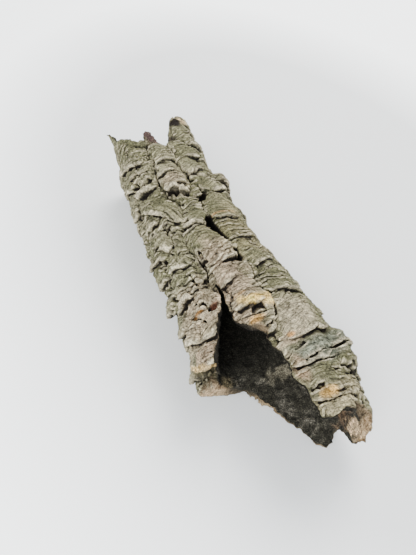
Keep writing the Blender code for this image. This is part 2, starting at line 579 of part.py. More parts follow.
def bark_faces(kept):
    """Faces of the outside, the inside and the broken rims between them, as corner numbers."""
    rows, columns = kept.shape
    number = np.arange((rows + 1) * columns).reshape(rows + 1, columns)
    beside = np.roll(number, -1, axis=1)
    inner = number.size
    corners = np.stack([number[:-1], beside[:-1], beside[1:], number[1:]], axis=-1)
    faces = [corners[kept], corners[kept][:, ::-1] + inner]
    padded = np.zeros((rows + 2, columns), bool)
    padded[1:-1] = kept
    neighbours = [padded[:-2], np.roll(kept, -1, axis=1), padded[2:], np.roll(kept, 1, axis=1)]
    for side, neighbour in enumerate(neighbours):
        a, b = corners[..., side], corners[..., (side + 1) % 4]
        bare = kept & ~neighbour
        faces.append(np.stack([b[bare], a[bare], a[bare] + inner, b[bare] + inner], axis=-1))
    return np.concatenate(faces)


def bark_mesh():
    """The bark as a closed mesh, in metres."""
    girth, length, kept = chart_grid()
    snapped_to_edge(girth, length, edge_corners(kept))
    outer, inner = surfaces(girth, length, material_depth(girth, length))
    points = np.concatenate([outer.reshape(-1, 3), inner.reshape(-1, 3)]) * MM
    points[:, :2] -= np.array(ORIGIN_SHIFT) * MM
    faces = bark_faces(kept)
    used, numbers = np.unique(faces, return_inverse=True)
    mesh = bpy.data.meshes.new("cork_bark")
    mesh.from_pydata(points[used].tolist(), [], numbers.reshape(-1, 4).tolist())
    mesh.validate()
    return mesh


def bark_material():
    """Dry grey-green cork."""
    material = bpy.data.materials.new("cork_bark")
    material.use_nodes = True
    shader = material.node_tree.nodes["Principled BSDF"]
    shader.inputs["Base Color"].default_value = BARK_COLOUR
    shader.inputs["Roughness"].default_value = BARK_ROUGHNESS
    shader.inputs["Metallic"].default_value = 0.0
    return material


def main():
    for thing in list(bpy.data.objects):
        bpy.data.objects.remove(thing)
    bark = bpy.data.objects.new("cork_bark", bark_mesh())
    bpy.context.scene.collection.objects.link(bark)
    fewer = bark.modifiers.new("fewer_faces", "DECIMATE")
    fewer.decimate_type = "COLLAPSE"
    fewer.ratio = KEPT_SHARE
    light = bpy.data.meshes.new_from_object(bark.evaluated_get(bpy.context.evaluated_depsgraph_get()))
    bark.modifiers.clear()
    bark.data = light
    for vertex in light.vertices:
        if vertex.co.z < FLAT_BELOW * MM:
            vertex.co.z = 0.0
    light.materials.append(bark_material())


main()
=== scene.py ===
"""The look of the cork bark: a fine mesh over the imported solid, with its colours worked out by place.

The chart, the cords, the ends and the cracks repeat the part's own named values. Girth is measured
in millimetres from the crown line along the top (minus is the left side), and length along the bark
(minus is the open mouth).
"""

import math

import bpy
import numpy as np
from mathutils import Matrix, Vector


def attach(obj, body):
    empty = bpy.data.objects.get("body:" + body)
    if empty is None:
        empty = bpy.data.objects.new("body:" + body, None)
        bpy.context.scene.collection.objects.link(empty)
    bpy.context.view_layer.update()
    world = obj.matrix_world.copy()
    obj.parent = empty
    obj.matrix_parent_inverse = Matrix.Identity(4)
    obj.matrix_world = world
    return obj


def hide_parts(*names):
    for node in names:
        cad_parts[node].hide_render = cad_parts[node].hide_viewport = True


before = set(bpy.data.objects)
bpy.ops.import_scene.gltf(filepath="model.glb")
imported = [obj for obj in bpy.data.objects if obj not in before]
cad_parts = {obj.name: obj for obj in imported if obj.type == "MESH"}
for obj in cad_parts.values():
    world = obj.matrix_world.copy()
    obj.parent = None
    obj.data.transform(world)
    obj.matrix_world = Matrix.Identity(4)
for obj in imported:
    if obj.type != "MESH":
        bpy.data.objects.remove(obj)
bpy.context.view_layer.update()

MM = 0.001

# Driving dimensions of the rolled bark, in millimetres
SECTION_POWER = 2.35
SECTION_HALF_WIDTH, SECTION_HALF_HEIGHT = 46.0, 34.0
WIDTH_STATIONS = [-168.0, -140.0, -100.0, -50.0, -28.0, 0.0, 75.0, 130.0, 172.0]
HALF_WIDTHS = [40.0, 44.5, 52.0, 47.0, 43.5, 43.5, 42.0, 41.0, 41.0]
CENTRE_SHIFTS = [-4.5, -3.0, -3.0, 0.0, -1.0, -2.5, 1.0, 4.0, 7.5]
HALF_HEIGHT_STATIONS, HALF_HEIGHTS = [-168.0, 0.0, 172.0], [33.0, 34.0, 35.0]
ORIGIN_SHIFT = (-3.5, 1.8)

# The fine grid, and the triangles that the mesh keeps
LENGTH_LOW, LENGTH_HIGH = -175.0, 184.0
STEP_ALONG, STEP_ON_TOP, STEP_BELOW = 0.585, 0.52, 1.5
TOP_REACH = 78.0
KEPT_TRIANGLES = 560000
PIECES = 3
RIM_ROWS = 9

# The broken ends, as (girth, length) points from the underside, over the crown, to the underside
NEAR_END = [
    (-131, -133), (-127, -128), (-123, -121.5), (-118.5, -111), (-113, -104), (-105, -101), (-97.4, -100), (-88, -98),
    (-79, -98), (-65, -97), (-54, -97), (-46, -99), (-41, -101), (-38.5, -97), (-35.8, -93),
    (-32.6, -87), (-28.5, -78.5), (-25.5, -73), (-22, -66.5), (-19.5, -61.5), (-18, -55),
    (-17.4, -47), (-16.6, -53), (-16, -59), (-16.6, -72), (-15.4, -79), (-12.5, -85), (-8, -88.5),
    (-4.5, -90.5), (-2, -95), (-2, -104), (-0.5, -112), (0.8, -118), (0, -124), (-1.2, -129),
    (0.3, -134), (1.6, -136), (0, -140), (-0.6, -145), (0.6, -150), (1, -156), (6, -158),
    (12, -158), (18, -156.5), (25, -158.5), (32, -155.5), (38, -158), (46, -158), (53, -160.5),
    (60, -164.5), (67, -168.5), (74, -168.5), (80, -170), (86, -168), (91, -162), (95, -157), (101, -156.5),
    (105.5, -161), (110, -161.5), (114, -160), (118, -157), (120, -151), (124, -142), (131, -133),
]
FAR_END = [
    (-131, 150), (-118, 146), (-104, 152), (-91, 148), (-79, 155), (-70, 150), (-60, 154),
    (-54, 157), (-51.5, 165), (-50.2, 173), (-49.2, 179.5), (-48, 176), (-46, 168), (-42.5, 158), (-34, 149),
    (-27, 143), (-21, 136), (-15, 131.5), (-12.5, 131), (-11, 140), (-8, 145), (-4, 140.5),
    (-0.5, 131), (2.6, 121.5), (8, 119.5), (11, 123), (14.5, 130), (19.5, 139.5), (24, 148),
    (28, 158), (32.5, 167), (39, 173.5), (46, 175), (52, 171), (57.5, 162), (62, 150), (72, 147),
    (85, 150), (100, 146), (115, 152), (131, 150),
]

# Holes right through the wall, as a stroke of (girth, length, radius) points
HOLES = [
    [(6.8, 14, 3.2), (5.2, 8, 4.2), (7.2, 1, 3.2), (8.8, -5, 2.2), (10.2, -12, 1.4)],
    [(9.6, -25, 2.6), (10.0, -33, 2.2)],
    [(16.0, 41, 2.2), (12.5, 38, 3.2), (9.5, 36, 2.2)],
    [(-37, 128, 1.3), (-34, 126.5, 1.5)],
]

# Cracks and hollows in the outside, as ([(girth, length), ...], half width, depth)
CRACKS = [
    ([(-50, 62), (-47.5, 52), (-45, 44), (-44, 36)], 2.2, 4.0),
    ([(-43, 31), (-40, 22)], 1.8, 4.0),
    ([(-37, 4), (-34, -6)], 1.8, 4.5),
    ([(-31, -30), (-30, -40)], 1.8, 4.0),
    ([(37, -155), (44, -156.5)], 2.0, 4.0),
    ([(-15, 106), (-13.5, 96), (-15.5, 84), (-18.3, 74), (-18, 62), (-17.5, 52)], 2.6, 5.5),
    ([(-16, 48), (-13, 42), (-9.5, 36)], 3.4, 4.5),
    ([(-9, 50), (-3, 55), (3, 55)], 2.6, 3.5),
    ([(-20, -21), (-18.8, -28), (-18, -35)], 2.6, 5.0),
    ([(6, -56), (7.5, -62), (9, -67), (10.5, -74), (11, -78)], 2.2, 4.5),
    ([(11, -78), (8, -85), (3, -91)], 1.6, 3.0),
    ([(6.8, -13), (8.4, -20), (8.6, -27)], 1.6, 5.0),
    ([(8.8, -33), (9.5, -44), (8.5, -54)], 1.6, 2.5),
    ([(9.5, 34), (7.5, 26), (6.4, 18)], 1.8, 3.0),
    ([(8, 118), (6.5, 100), (7, 84), (9.5, 70), (12, 52), (14, 42)], 2.0, 3.5),
    ([(9, -122.5), (20, -120.5), (33, -120), (46, -121)], 1.0, 4.0),
    ([(-1, -149.5), (12, -148.5), (26, -146)], 1.1, 3.0),
    ([(-46, -57), (-39, -62), (-33, -68)], 1.9, 3.5),
    ([(-56, -32), (-51, -36), (-45, -40)], 2.2, 4.0),
    ([(-43, 84), (-37, 77), (-30, 73), (-24, 77)], 3.0, 4.0),
    ([(15, 67), (22, 65.5), (27, 60), (30, 52)], 1.8, 4.0),
    ([(-43, -5), (-47, -9)], 2.6, 4.0),
    ([(-49, -19), (-54, -22)], 2.6, 4.0),
    ([(30, -132), (37, -138)], 1.5, 3.5),
    ([(3, -140.5), (6.5, -140.5), (10, -140)], 1.7, 3.0),
    ([(9, -149.7), (16, -150), (25, -148)], 1.0, 2.5),
    ([(-45, 120), (-33, 112.5), (-20, 109)], 1.5, 3.0),
    ([(-34, 96), (-30, 90), (-25, 88)], 1.9, 3.5),
    ([(-29, -63), (-25, -64)], 2.4, 3.5),
    ([(-45, 11), (-42, 8)], 2.6, 4.0),
    ([(-14, 17), (-11, 16)], 2.2, 4.5),
    ([(-31, 19), (-27, 17)], 1.9, 3.5),
    ([(26, -20), (31, -21)], 1.3, 2.5),
    ([(28, -46), (24, -47)], 1.5, 3.0),
]
FINE_CRACKS = [
    ([(10, -63), (17, -69)], 0.5, 1.8),
    ([(26, -18), (32, -21)], 0.5, 2.0),
    ([(23, -38), (28, -41)], 0.5, 1.8),
    ([(-53, -58), (-38, -66), (-34, -67)], 0.6, 2.2),
    ([(-24, -22), (-21, -27), (-17, -26)], 0.6, 2.0),
    ([(-8, 17), (-2, 14), (0, 9)], 0.6, 1.8),
    ([(-2, -118), (14, -112), (26, -114)], 0.4, 1.2),
    ([(4, -136), (18, -133), (36, -135)], 0.4, 1.4),
]

# Lumps that stand out of the cords, as (girth, length, radius, height)
LUMPS = [
    (-118, -84, 13, 2.6),
    (117, -100, 13, 2.6),
    (-119, 96, 13, 2.6),
    (118, 104, 13, 2.6),
    (46, 60, 10.5, 9.0),
    (42, -114, 10, 6.5),
    (40, -127, 10, 5.5),
    (-25, -62, 4, 2.0),
    (-77, -95, 11, 4.5),
    (14, 129, 5, 4.0),
    (75, -163, 12, 3.0),
    (50, 112, 9, 3.0),
    (-60, 0, 9, 2.5),
    (-64, -30, 9, 2.5),
]

# Scales of bark laid over the cords, lapping towards the mouth, as
# (girth, length, half across, half along, turn in degrees, rise to the lip, height, fall to the sides)
SCALES = [
    (-33, 115, 18, 8, -28, 3.4, 2.6, 3.0),
    (-26, 84, 12, 16, -24, 4.6, 2.8, 5.0),
    (-21, 45, 25, 14, -50, 5.2, 2.6, 4.0),
    (-46, 95, 11, 11, -20, 4.0, 1.4, 4.0),
    (-52, 74, 12, 13, -25, 4.4, 1.4, 4.0),
    (-5, 108, 12, 8, 6, 2.4, 3.6, 6.0),
    (-6, 100, 12.5, 11, 4, 3.2, 4.8, 7.0),
    (-6.5, 86, 13.5, 12, -4, 3.6, 5.2, 7.5),
    (-5.5, 68, 14, 14, -4, 4.0, 5.6, 7.5),
    (-4, 37, 12, 9, 12, 3.0, 0.0, 2.0),
    (-4, 19, 12, 9, -12, 4.0, 2.4, 3.5),
    (-6, -12, 15, 19, 14, 3.6, 4.4, 4.5),
    (-6, -38, 15, 12, 8, 2.6, 4.0, 6.0),
    (0, -64, 16.5, 24, 0, 0.6, 4.8, 9.0),
    (1, -51, 15, 12, -8, 1.6, 5.2, 8.0),
    (-1, -63, 10, 11, -8, 2.4, 6.2, 4.5),
    (-4, -84, 8, 6, -16, 1.8, 3.4, 3.0),
    (-36, 16, 13, 11, -30, 4.6, 2.2, 4.0),
    (-31, -5, 12, 13, -20, 4.6, 2.2, 4.0),
    (-48, 13, 14, 12, -12, 5.0, 2.6, 5.0),
    (-55, -4, 16, 10, -18, 5.2, 2.6, 5.0),
    (-60, -24, 15, 12, -22, 5.0, 2.0, 4.5),
    (-42, -30, 13, 15, -14, 4.4, 2.2, 5.0),
    (-28, -65, 14, 13, 4, 4.4, 3.2, 3.5),
    (-42, -64, 12, 11, -30, 4.6, 2.0, 4.0),
    (-36, -84, 12, 13, -16, 3.8, 1.8, 3.0),
    (-56, -48, 14, 12, -20, 4.4, 1.4, 4.0),
    (-62, -78, 14, 13, -16, 4.2, 1.0, 3.0),
    (24, 26, 18, 15, -4, 2.6, 1.6, 3.0),
    (23, 2, 18, 15, 6, 2.8, 1.4, 3.0),
    (22, -26, 17, 15, 8, 3.2, 1.6, 3.0),
    (27, -54, 16, 16, -8, 3.0, 2.0, 3.0),
    (20, -88, 19, 18, 10, 3.4, 2.4, 4.5),
    (14, -113, 18, 9, 4, 2.2, 1.2, 1.5),
    (19, -137, 21, 12, -6, 2.4, 1.6, 2.0),
    (14, -153, 16, 9, 2, 2.6, 1.4, 1.5),
    (28, 58, 12, 14, 14, 3.8, 2.2, 5.0),
    (18, 82, 12, 12, 10, 3.4, 2.0, 5.0),
    (24, 104, 13, 13, 8, 3.8, 2.6, 5.0),
    (34, 124, 14, 12, 8, 4.2, 3.8, 7.0),
    (38, 142, 13, 11, 4, 4.2, 3.6, 7.0),
    (43, 158, 11, 10, 0, 3.6, 2.6, 6.0),
]
SCALE_POWER, SCALE_BOW, SCALE_FLARE = 3.4, 2.6, 1.6
SCALE_SLOPE, SCALE_LOW = 4.0, 0.4

# The seeded scales: the ranges that each one is drawn from, as shares of its cord's own values
FILLER_SEED = 7
FILLER_GAPS, FILLER_WIDTHS, FILLER_LENGTHS = (0.7, 1.5), (0.75, 1.15), (1.0, 1.4)
FILLER_RISES, FILLER_LEVELS = (0.6, 1.4), (-0.3, 0.9)
FILLER_SHIFT, FILLER_TURN = 3.0, 25.0
FILLER_FALL, FILLER_FLOOR, FILLER_CLEAR = 1.0, -1.6, 0.8
OVERHANG, OVERHANG_FROM, OVERHANG_MOST = 0.5, 0.6, 4.0

# Hollows, as (girth, length, half girth, half length, depth, how much deeper away from the mouth)
HOLLOWS = [
    (-24, -35, 5.5, 12, 3.2, 0.3),
    (0, -79.5, 5, 4.5, 4.0, 0.5),
    (30, 161, 4, 5, 3.5, 0.0),
    (-47.5, 29, 4, 5, 2.4, 0.5),
    (-13, 48, 6, 5, 2.6, 0.6),
    (1, 51, 7, 3, 1.8, 0.6),
    (-28, 15, 4, 3, 2.0, 0.5),
    (-18.5, -26, 3.5, 4.5, 2.6, 0.5),
    (-38, 80, 6, 6, 2.2, 0.4),
]

# Where the whole wall bends outward into a pointed tip, as (girth, length, reach, distance)
TIP_BEND = (-49, 184, 25, 6.0)

# Cords of bark, as (name, [(length, girth), ...], half width, height, spacing of its scales,
# rise of its scales, first length, last length)
FROM_END, TO_END = -200.0, 200.0
CROWN_RIGHT = [(-160, 14), (-105, 14), (-88, 20), (-70, 25), (-50, 24), (-30, 19), (0, 17), (125, 20)]
CORDS = [
    ("crown_right", CROWN_RIGHT, 13.0, 8.0, 13, 1.8, FROM_END, 126),
    ("shoulder_right", [(-160, 37), (0, 38), (110, 38)], 13.5, 7.5, 13, 2.0, FROM_END, 132),
    ("finger", [(110, 31), (145, 37), (170, 43)], 13.5, 10.0, 11, 3.2, 96, 171),
    ("flank_right", [(-160, 57), (160, 58)], 13.0, 6.5, 12, 2.8, FROM_END, TO_END),
    ("low_right", [(-160, 76), (160, 76)], 12.5, 6.5, 12, 3.0, FROM_END, TO_END),
    ("under_right", [(-160, 96), (160, 97)], 13.0, 6.0, 13, 2.6, FROM_END, TO_END),
    ("base_right", [(-160, 117), (160, 118)], 13.0, 6.0, 13, 2.4, FROM_END, TO_END),
    ("base_left", [(-160, -122), (160, -121)], 12.5, 6.0, 13, 2.4, FROM_END, TO_END),
    ("under_left", [(-160, -101), (160, -102)], 12.5, 6.0, 12, 2.6, FROM_END, TO_END),
    ("low_left", [(-160, -81), (160, -82)], 12.5, 6.5, 11, 3.2, FROM_END, TO_END),
    ("flank_left", [(-160, -62), (0, -63), (120, -62)], 12.5, 6.5, 10, 3.4, FROM_END, 122),
    ("shoulder_left", [(-160, -46), (0, -46), (60, -42), (120, -42)], 12.0, 7.0, 10, 3.2, FROM_END, 119),
    ("crown_left", [(-160, -30), (-40, -31), (0, -27), (120, -27)], 12.0, 7.5, 10, 3.0, FROM_END, 117),
    ("far_cord", [(50, -6), (75, -6.5), (100, -5), (122, -3)], 12.0, 10.5, 12, 1.6, 53, 117),
    ("far_left", [(100, -38), (178, -46)], 22.0, 5.0, 40, 0.6, 104, 184),
    ("middle_plate", [(-40, -8), (0, -10), (20, -12), (48, -12)], 13.5, 7.5, 12, 2.2, -42, 47),
    ("knob", [(-94, -5), (-78, -2.5), (-66, 0), (-50, 0), (-30, -6)], 14.5, 11.5, 10, 1.6, -98, -32),
]
GROUND_DEPTH = 7.5
GROUND_GIRTHS = [-130, -95, -75, -55, -6, 8, 20, 62, 85, 130]
GROUND_RISES = [3.5, 3.5, 2.2, 0.5, 0.0, 0.5, 3.6, 3.6, 3.5, 3.5]
CORD_END_ROUND = 9.0
CORD_BLEND = 1.6
CORD_WANDER, CORD_SWELL, CORD_RISE = 1.8, 0.16, 0.15
CORD_POWER = 2.3

# Noise, as (cell, reach) pairs: what tears the scales' edges, swells the outside and roughens the inside
WARPS = [(13.0, 2.2), (5.5, 1.1), (2.6, 0.5)]
SWELLS = [(15.0, 0.9), (6.0, 0.5)]
INSIDE_SWELLS = [(22.0, 0.8), (7.0, 0.4)]
RAGGED_EDGE = [(7.0, 1.3), (3.2, 0.8), (1.6, 0.5)]
HOLE_RAGGED = 0.35

# The inside: how far it lies below the rolled section, and where that differs
INSIDE_DEPTH = 13.0
INSIDE_PATCHES = [
    (-80, -110, 46, 55, 2.0),
    (-125, -135, 34, 45, -4.0),
    (110, -140, 34, 45, -3.5),
    (22, -135, 34, 48, -1.5),
    (-28, 150, 30, 30, -3.0),
    (-3, 138, 12, 20, -1.5),
]
RIM_TAPER, RIM_OUTER_DROP = 6.0, 1.6
THINNING_REACH = 14.0
NEAR_THINNING_GIRTHS = [-130, -60, -48, -40, -20, 5, 30, 45, 60, 130]
NEAR_THINNING = [2.0, 0.0, 0.0, 8.5, 8.5, 8.0, 6.0, 2.0, 2.0, 2.0]
FAR_THINNING = 6.0
THINNEST_WALL = 2.6

# Fine relief that only the look carries
MIDDLE_LEDGE_SPACING, MIDDLE_LEDGE_HEIGHT = 5.6, 1.7
SMALL_LEDGE_SPACING, SMALL_LEDGE_HEIGHT = 2.5, 0.8
CRUMB_CELL, CRUMB_HEIGHT = 2.3, 0.65
GRIT_CELL, GRIT_HEIGHT = 1.2, 0.35
FISSURE_CELL, FISSURE_WIDTH, FISSURE_DEPTH = 9.0, 0.03, 0.9
PIT_CELL, PIT_FROM, PIT_DEPTH = 4.2, 0.6, 2.6
STUB_HOLLOW, STUB_BULGE = 5.0, 2.4

# Colours as they look, in 0-255 steps
GREY_GREEN = (135, 132, 100)
PALE_GREY = (174, 166, 134)
OLIVE = (106, 105, 72)
# Painted highlight on the lips and wherever the relief stands out, and tan flecks on the stub's hollow end
HIGHLIGHT_AND_FLECK_TAN = (220, 208, 176)
# Painted shade in crevices, hollows and under overhanging lips; on the rims, darker towards the inner edge and dark
# specks
SHADE_AND_SPECK_DARK = (34, 28, 21)
PINK_BEIGE = (184, 163, 136)
YELLOW_GREY = (148, 139, 102)
BLUE_GREY = (120, 124, 108)
PURPLE_BROWN = (88, 66, 64)
BROKEN_TAN = (218, 190, 148)
BROKEN_BROWN = (142, 114, 84)
# Painted shade in the stub's recessed hollow end
STUB_HOLLOW_SHADE = (74, 68, 48)
STUB_PALE = (196, 170, 136)
# Painted shade on the walls of the holes through the bark
HOLE_SHADE_DARK = (20, 16, 12)
RIM_GREY = (112, 100, 80)
INSIDE_DARK = (50, 48, 40)
INSIDE_MOTTLE = (150, 144, 130)

# Zones of other colour on the outside, as (girth, length, reach round, reach along, colour, share)
ZONES = [
    (-8, -62, 12, 34, PINK_BEIGE, 0.75),
    (-2, -30, 12, 22, PINK_BEIGE, 0.6),
    (-30, -60, 20, 20, PINK_BEIGE, 0.6),
    (-6, 58, 10, 12, PINK_BEIGE, 0.55),
    (28, -5, 22, 30, YELLOW_GREY, 0.7),
    (26, -118, 20, 9, BLUE_GREY, 0.85),
    (10, -106, 9, 3.5, PINK_BEIGE, 0.7),
    (3, -127, 4, 9, (196, 162, 130), 0.6),
    (-42, -70, 20, 22, (206, 186, 154), 0.65),
    (20, -92, 14, 13, (206, 192, 162), 0.75),
    (16, -150, 24, 9, (184, 170, 134), 0.55),
    (-44, -89, 12, 5, (192, 164, 136), 0.6),
    (-30, 112, 24, 8, OLIVE, 0.5),
    (-6, 138, 9, 14, PURPLE_BROWN, 0.95),
    (-18, -27, 4, 6, PURPLE_BROWN, 0.7),
    (45, 58, 10, 9, (92, 76, 58), 0.7),
    (18, 14, 12, 1.2, (196, 140, 84), 0.5),
]

# Small accents laid over the painted highlights and shade, as (girth, length, reach round, reach along, colour, share)
ACCENTS = [
    (39, 156, 3.4, 8, (226, 198, 154), 0.9),
    # Painted shade in the hollow by the finger's tip
    (31, 151, 5.5, 9, (34, 26, 21), 1.0),
    (17, 124, 5, 6, (52, 42, 34), 0.85),
    (-8.5, -69.5, 2.6, 2.6, (238, 204, 128), 0.95),
    (-2, -71.8, 8, 2.0, (246, 210, 124), 1.0),
    (7.6, -75.5, 2.2, 4.0, (236, 202, 128), 0.95),
    (-7, -64.8, 3.6, 1.4, (216, 178, 124), 0.75),
    (-5, -86.4, 4.4, 2.4, (218, 172, 102), 0.95),
    (-24.5, -62, 2.8, 2.8, (104, 62, 44), 0.9),
    (-38, -60, 6, 1.3, (206, 148, 80), 0.75),
    (9.6, -103.8, 2.2, 1.6, (208, 152, 86), 0.8),
    (11, -145.4, 6, 3.2, (242, 194, 112), 0.95),
]

# The hollow end of the left wall's stub: its lip as (girth, length) points, and how deep it lies behind it
STUB_LIP_GIRTHS, STUB_LIP_LENGTHS = [-70, -60, -54, -47.5, -41, -38], [-80, -86, -90, -93.2, -95.8, -98]
STUB_RECESS, STUB_LIP_COLOUR = 4.0, (222, 188, 126)

# Where the broken rim is fresh and tan, as (girth, length, reach round, reach along, share)
TAN_RIMS = [
    (-84, -99, 14, 10, 1.0),
    (44, -158, 12, 6, 0.5),
    (-122, -122, 14, 14, 0.7),
    (116, -160, 12, 6, 0.45),
    (68, -167, 20, 8, 1.0),
    (3, -90, 10, 7, 0.6),
    (34, 169, 9, 6, 0.8),
]

# Patches of the inside that are greyer, as (girth, length, reach round, reach along, share)
INSIDE_ZONES = [
    (126.5, -101, 7, 5, 1.0),
    (114.5, -104, 7, 5.5, 1.0),
    (-112, -101, 12, 6, 0.4),
    (116, -132, 24, 20, 0.36),
]

# Spots of other colour on the inside, as (girth, length, reach round, reach along, colour, share)
INSIDE_SPOTS = [
    (76, -152, 14, 8, (100, 80, 60), 0.8),
    (70, -163, 11, 6, (192, 166, 130), 0.9),
    (-94, -100, 7, 4, (150, 136, 102), 0.5),
    (126.5, -101, 4.5, 3.5, (122, 116, 98), 0.85),
    (115, -104, 5, 4, (116, 110, 92), 0.85),
]
# Painted shade inside the tube: where it starts along the length, how far it takes to come in, and how much darker it
# gets
DEEP_SHADE_FROM, DEEP_SHADE_REACH, DEEP_SHADE = -102.0, 18.0, 0.55

# The photographed view: where the camera is, in millimetres, and its lens
CAMERA_TARGET = (-8.6, -14.0, 30.0)
CAMERA_AZIMUTH, CAMERA_ELEVATION, CAMERA_DISTANCE = -24.8, 52.1, 347.5
CAMERA_LENS = 27.9

# The middle and half sizes, in metres, of the oval of floor that stays dimmer than the rest; outside it the floor glows
# as painted light
DIM_MIDDLE, DIM_HALF_SIZES = (0.12, 0.08), (0.16, 0.26)


def section_table(count=4000):
    """(share of the girth, angle) pairs that measure the mean section by its arc length."""
    angles = np.linspace(np.pi / 2, -3 * np.pi / 2, count)
    x, z = section_point(angles, SECTION_HALF_WIDTH, SECTION_HALF_HEIGHT)
    lengths = np.concatenate([[0.0], np.cumsum(np.hypot(np.diff(x), np.diff(z)))])
    return lengths, angles


def section_point(angles, half_width, half_height):
    """Points of the flattened oval, measured from its centre."""
    power = 2.0 / SECTION_POWER
    cosine, sine = np.cos(angles), np.sin(angles)
    x = half_width * np.sign(cosine) * np.abs(cosine) ** power
    z = half_height * np.sign(sine) * np.abs(sine) ** power
    return x, z


ARC_LENGTHS, ARC_ANGLES = section_table()
GIRTH = ARC_LENGTHS[-1]


def rolled(girth, length, offset):
    """Chart points rolled onto the oval, moved out by offset, in millimetres."""
    angles = np.interp(girth % GIRTH, ARC_LENGTHS, ARC_ANGLES)
    half_width = np.interp(length, WIDTH_STATIONS, HALF_WIDTHS)
    half_height = np.interp(length, HALF_HEIGHT_STATIONS, HALF_HEIGHTS)
    x, z = section_point(angles, half_width, half_height)
    normal_x = np.sign(x) * np.abs(x / half_width) ** (SECTION_POWER - 1) / half_width
    normal_z = np.sign(z) * np.abs(z / half_height) ** (SECTION_POWER - 1) / half_height
    size = np.hypot(normal_x, normal_z)
    x = x + offset * normal_x / size + np.interp(length, WIDTH_STATIONS, CENTRE_SHIFTS)
    z = z + offset * normal_z / size + half_height
    return np.stack([x, length, z], axis=-1)


def wrapped(girth):
    """A girth difference brought to the short way round."""
    return (girth + GIRTH / 2) % GIRTH - GIRTH / 2


def smooth_step(value):
    value = np.clip(value, 0.0, 1.0)
    return value * value * (3 - 2 * value)


def blended_top(first, second, reach):
    """The higher of two heights, with the crease between them rounded."""
    near = np.maximum(reach - np.abs(first - second), 0)
    return np.maximum(first, second) + near * near / (4 * reach)


def wrapped_noise(girth, length, cell, seed):
    """Smooth random values from -1 to 1 on a lattice of that cell, with no seam round the girth."""
    columns = max(3, round(GIRTH / cell))
    rows = int((LENGTH_HIGH - LENGTH_LOW) / cell) + 12
    lattice = np.random.default_rng(seed).uniform(-1, 1, (rows, columns))
    across = (girth / GIRTH % 1.0) * columns
    up = np.clip((length - LENGTH_LOW) / cell + 4, 0, rows - 1.001)
    column, row = np.floor(across).astype(int), np.floor(up).astype(int)
    right, above = smooth_step(across - column), smooth_step(up - row)
    column, beside = column % columns, (column + 1) % columns
    low = lattice[row, column] * (1 - right) + lattice[row, beside] * right
    high = lattice[row + 1, column] * (1 - right) + lattice[row + 1, beside] * right
    return low * (1 - above) + high * above


def layered_noise(girth, length, layers, seed):
    """The sum of noise at several sizes, from (cell, reach) pairs."""
    return sum(reach * wrapped_noise(girth, length, cell, seed + n) for n, (cell, reach) in enumerate(layers))


def distance_to_stroke(girth, length, points):
    """Distance on the chart to a stroke of (girth, length, radius) points, less the radius there."""
    nearest = np.full(np.shape(girth), np.inf)
    for (g0, l0, r0), (g1, l1, r1) in zip(points[:-1], points[1:]):
        across, up = wrapped(girth - g0), length - l0
        run, rise = g1 - g0, l1 - l0
        share = np.clip((across * run + up * rise) / (run * run + rise * rise), 0, 1)
        gap = np.hypot(across - share * run, up - share * rise) - (r0 + share * (r1 - r0))
        nearest = np.minimum(nearest, gap)
    return nearest


def side_of_end(girth, length, outline):
    """Signed distance to a broken end: plus above the outline on the chart, minus below it."""
    girth = wrapped(girth)
    points = np.array(outline, float)
    distance = distance_to_stroke(girth, length, [(g, l, 0.0) for g, l in points])
    crossings = np.zeros(np.shape(girth), int)
    for (g0, l0), (g1, l1) in zip(points[:-1], points[1:]):
        spans = (g0 <= girth) != (g1 <= girth)
        height = l0 + (girth - g0) * (l1 - l0) / (g1 - g0 if g1 != g0 else 1.0)
        crossings += spans & (height < length)
    return np.where(crossings % 2 == 1, distance, -distance)


def material_depth(girth, length):
    """How far a chart point lies inside the bark, in millimetres, and minus where there is none."""
    ragged = layered_noise(girth, length, RAGGED_EDGE, 11)
    depth = side_of_end(girth, length, NEAR_END)
    depth = np.minimum(depth, -side_of_end(girth, length, FAR_END)) + ragged
    for stroke in HOLES:
        depth = np.minimum(depth, distance_to_stroke(girth, length, stroke) + HOLE_RAGGED * ragged)
    return depth


def thinning(girth, length):
    """How much thinner the wall gets towards its broken ends, in millimetres, from the inside."""
    near = smooth_step(1 - side_of_end(girth, length, NEAR_END) / THINNING_REACH)
    far = smooth_step(1 + side_of_end(girth, length, FAR_END) / THINNING_REACH)
    near_share = np.interp(wrapped(girth), NEAR_THINNING_GIRTHS, NEAR_THINNING)
    return np.maximum(near_share * near, FAR_THINNING * far)


def cord_profile(girth, length, cord):
    """The cord's rounded profile, from 0 outside it to 1 along its middle."""
    _, line, half_width, height, _, _, first, last = cord
    lengths, girths = zip(*line)
    seed = 100 + int(10 * height + girths[0]) % 97
    centre = np.interp(length, lengths, girths) + CORD_WANDER * wrapped_noise(girth * 0, length, 26.0, 21)
    centre = centre + CORD_WANDER * wrapped_noise(girth * 0, length, 17.0, seed)
    swell = 1 + CORD_SWELL * wrapped_noise(girth * 0 + 50, length, 13.0, seed)
    across = wrapped(girth - centre) / (half_width * swell)
    profile = np.sqrt(np.clip(1 - np.abs(across) ** CORD_POWER, 0, 1))
    inside = np.clip(np.minimum(length - first, last - length) / CORD_END_ROUND, 0, 1)
    return profile * np.sqrt(inside * (2 - inside))


def ragged_place(girth, length):
    """Chart points shifted by noise at three sizes, so that edges drawn there come out torn."""
    moved_girth = girth + layered_noise(girth, length, WARPS, 31)
    return moved_girth, length + layered_noise(girth, length, WARPS, 35)


def scale_place(girth, length, scale):
    """How far out of a scale each point is (1 is its edge), and its share of the way to the lip."""
    middle_girth, middle_length, half_across, half_along, turn = scale[:5]
    cosine, sine = np.cos(np.radians(turn)), np.sin(np.radians(turn))
    right, up = wrapped(girth - middle_girth), length - middle_length
    across = (cosine * right + sine * up) / half_across
    along = (cosine * up - sine * right + SCALE_BOW * across**2) / half_along
    out = (np.abs(across) ** SCALE_POWER + np.abs(along) ** SCALE_POWER) ** (1 / SCALE_POWER)
    return out, (1 - along) / 2, across


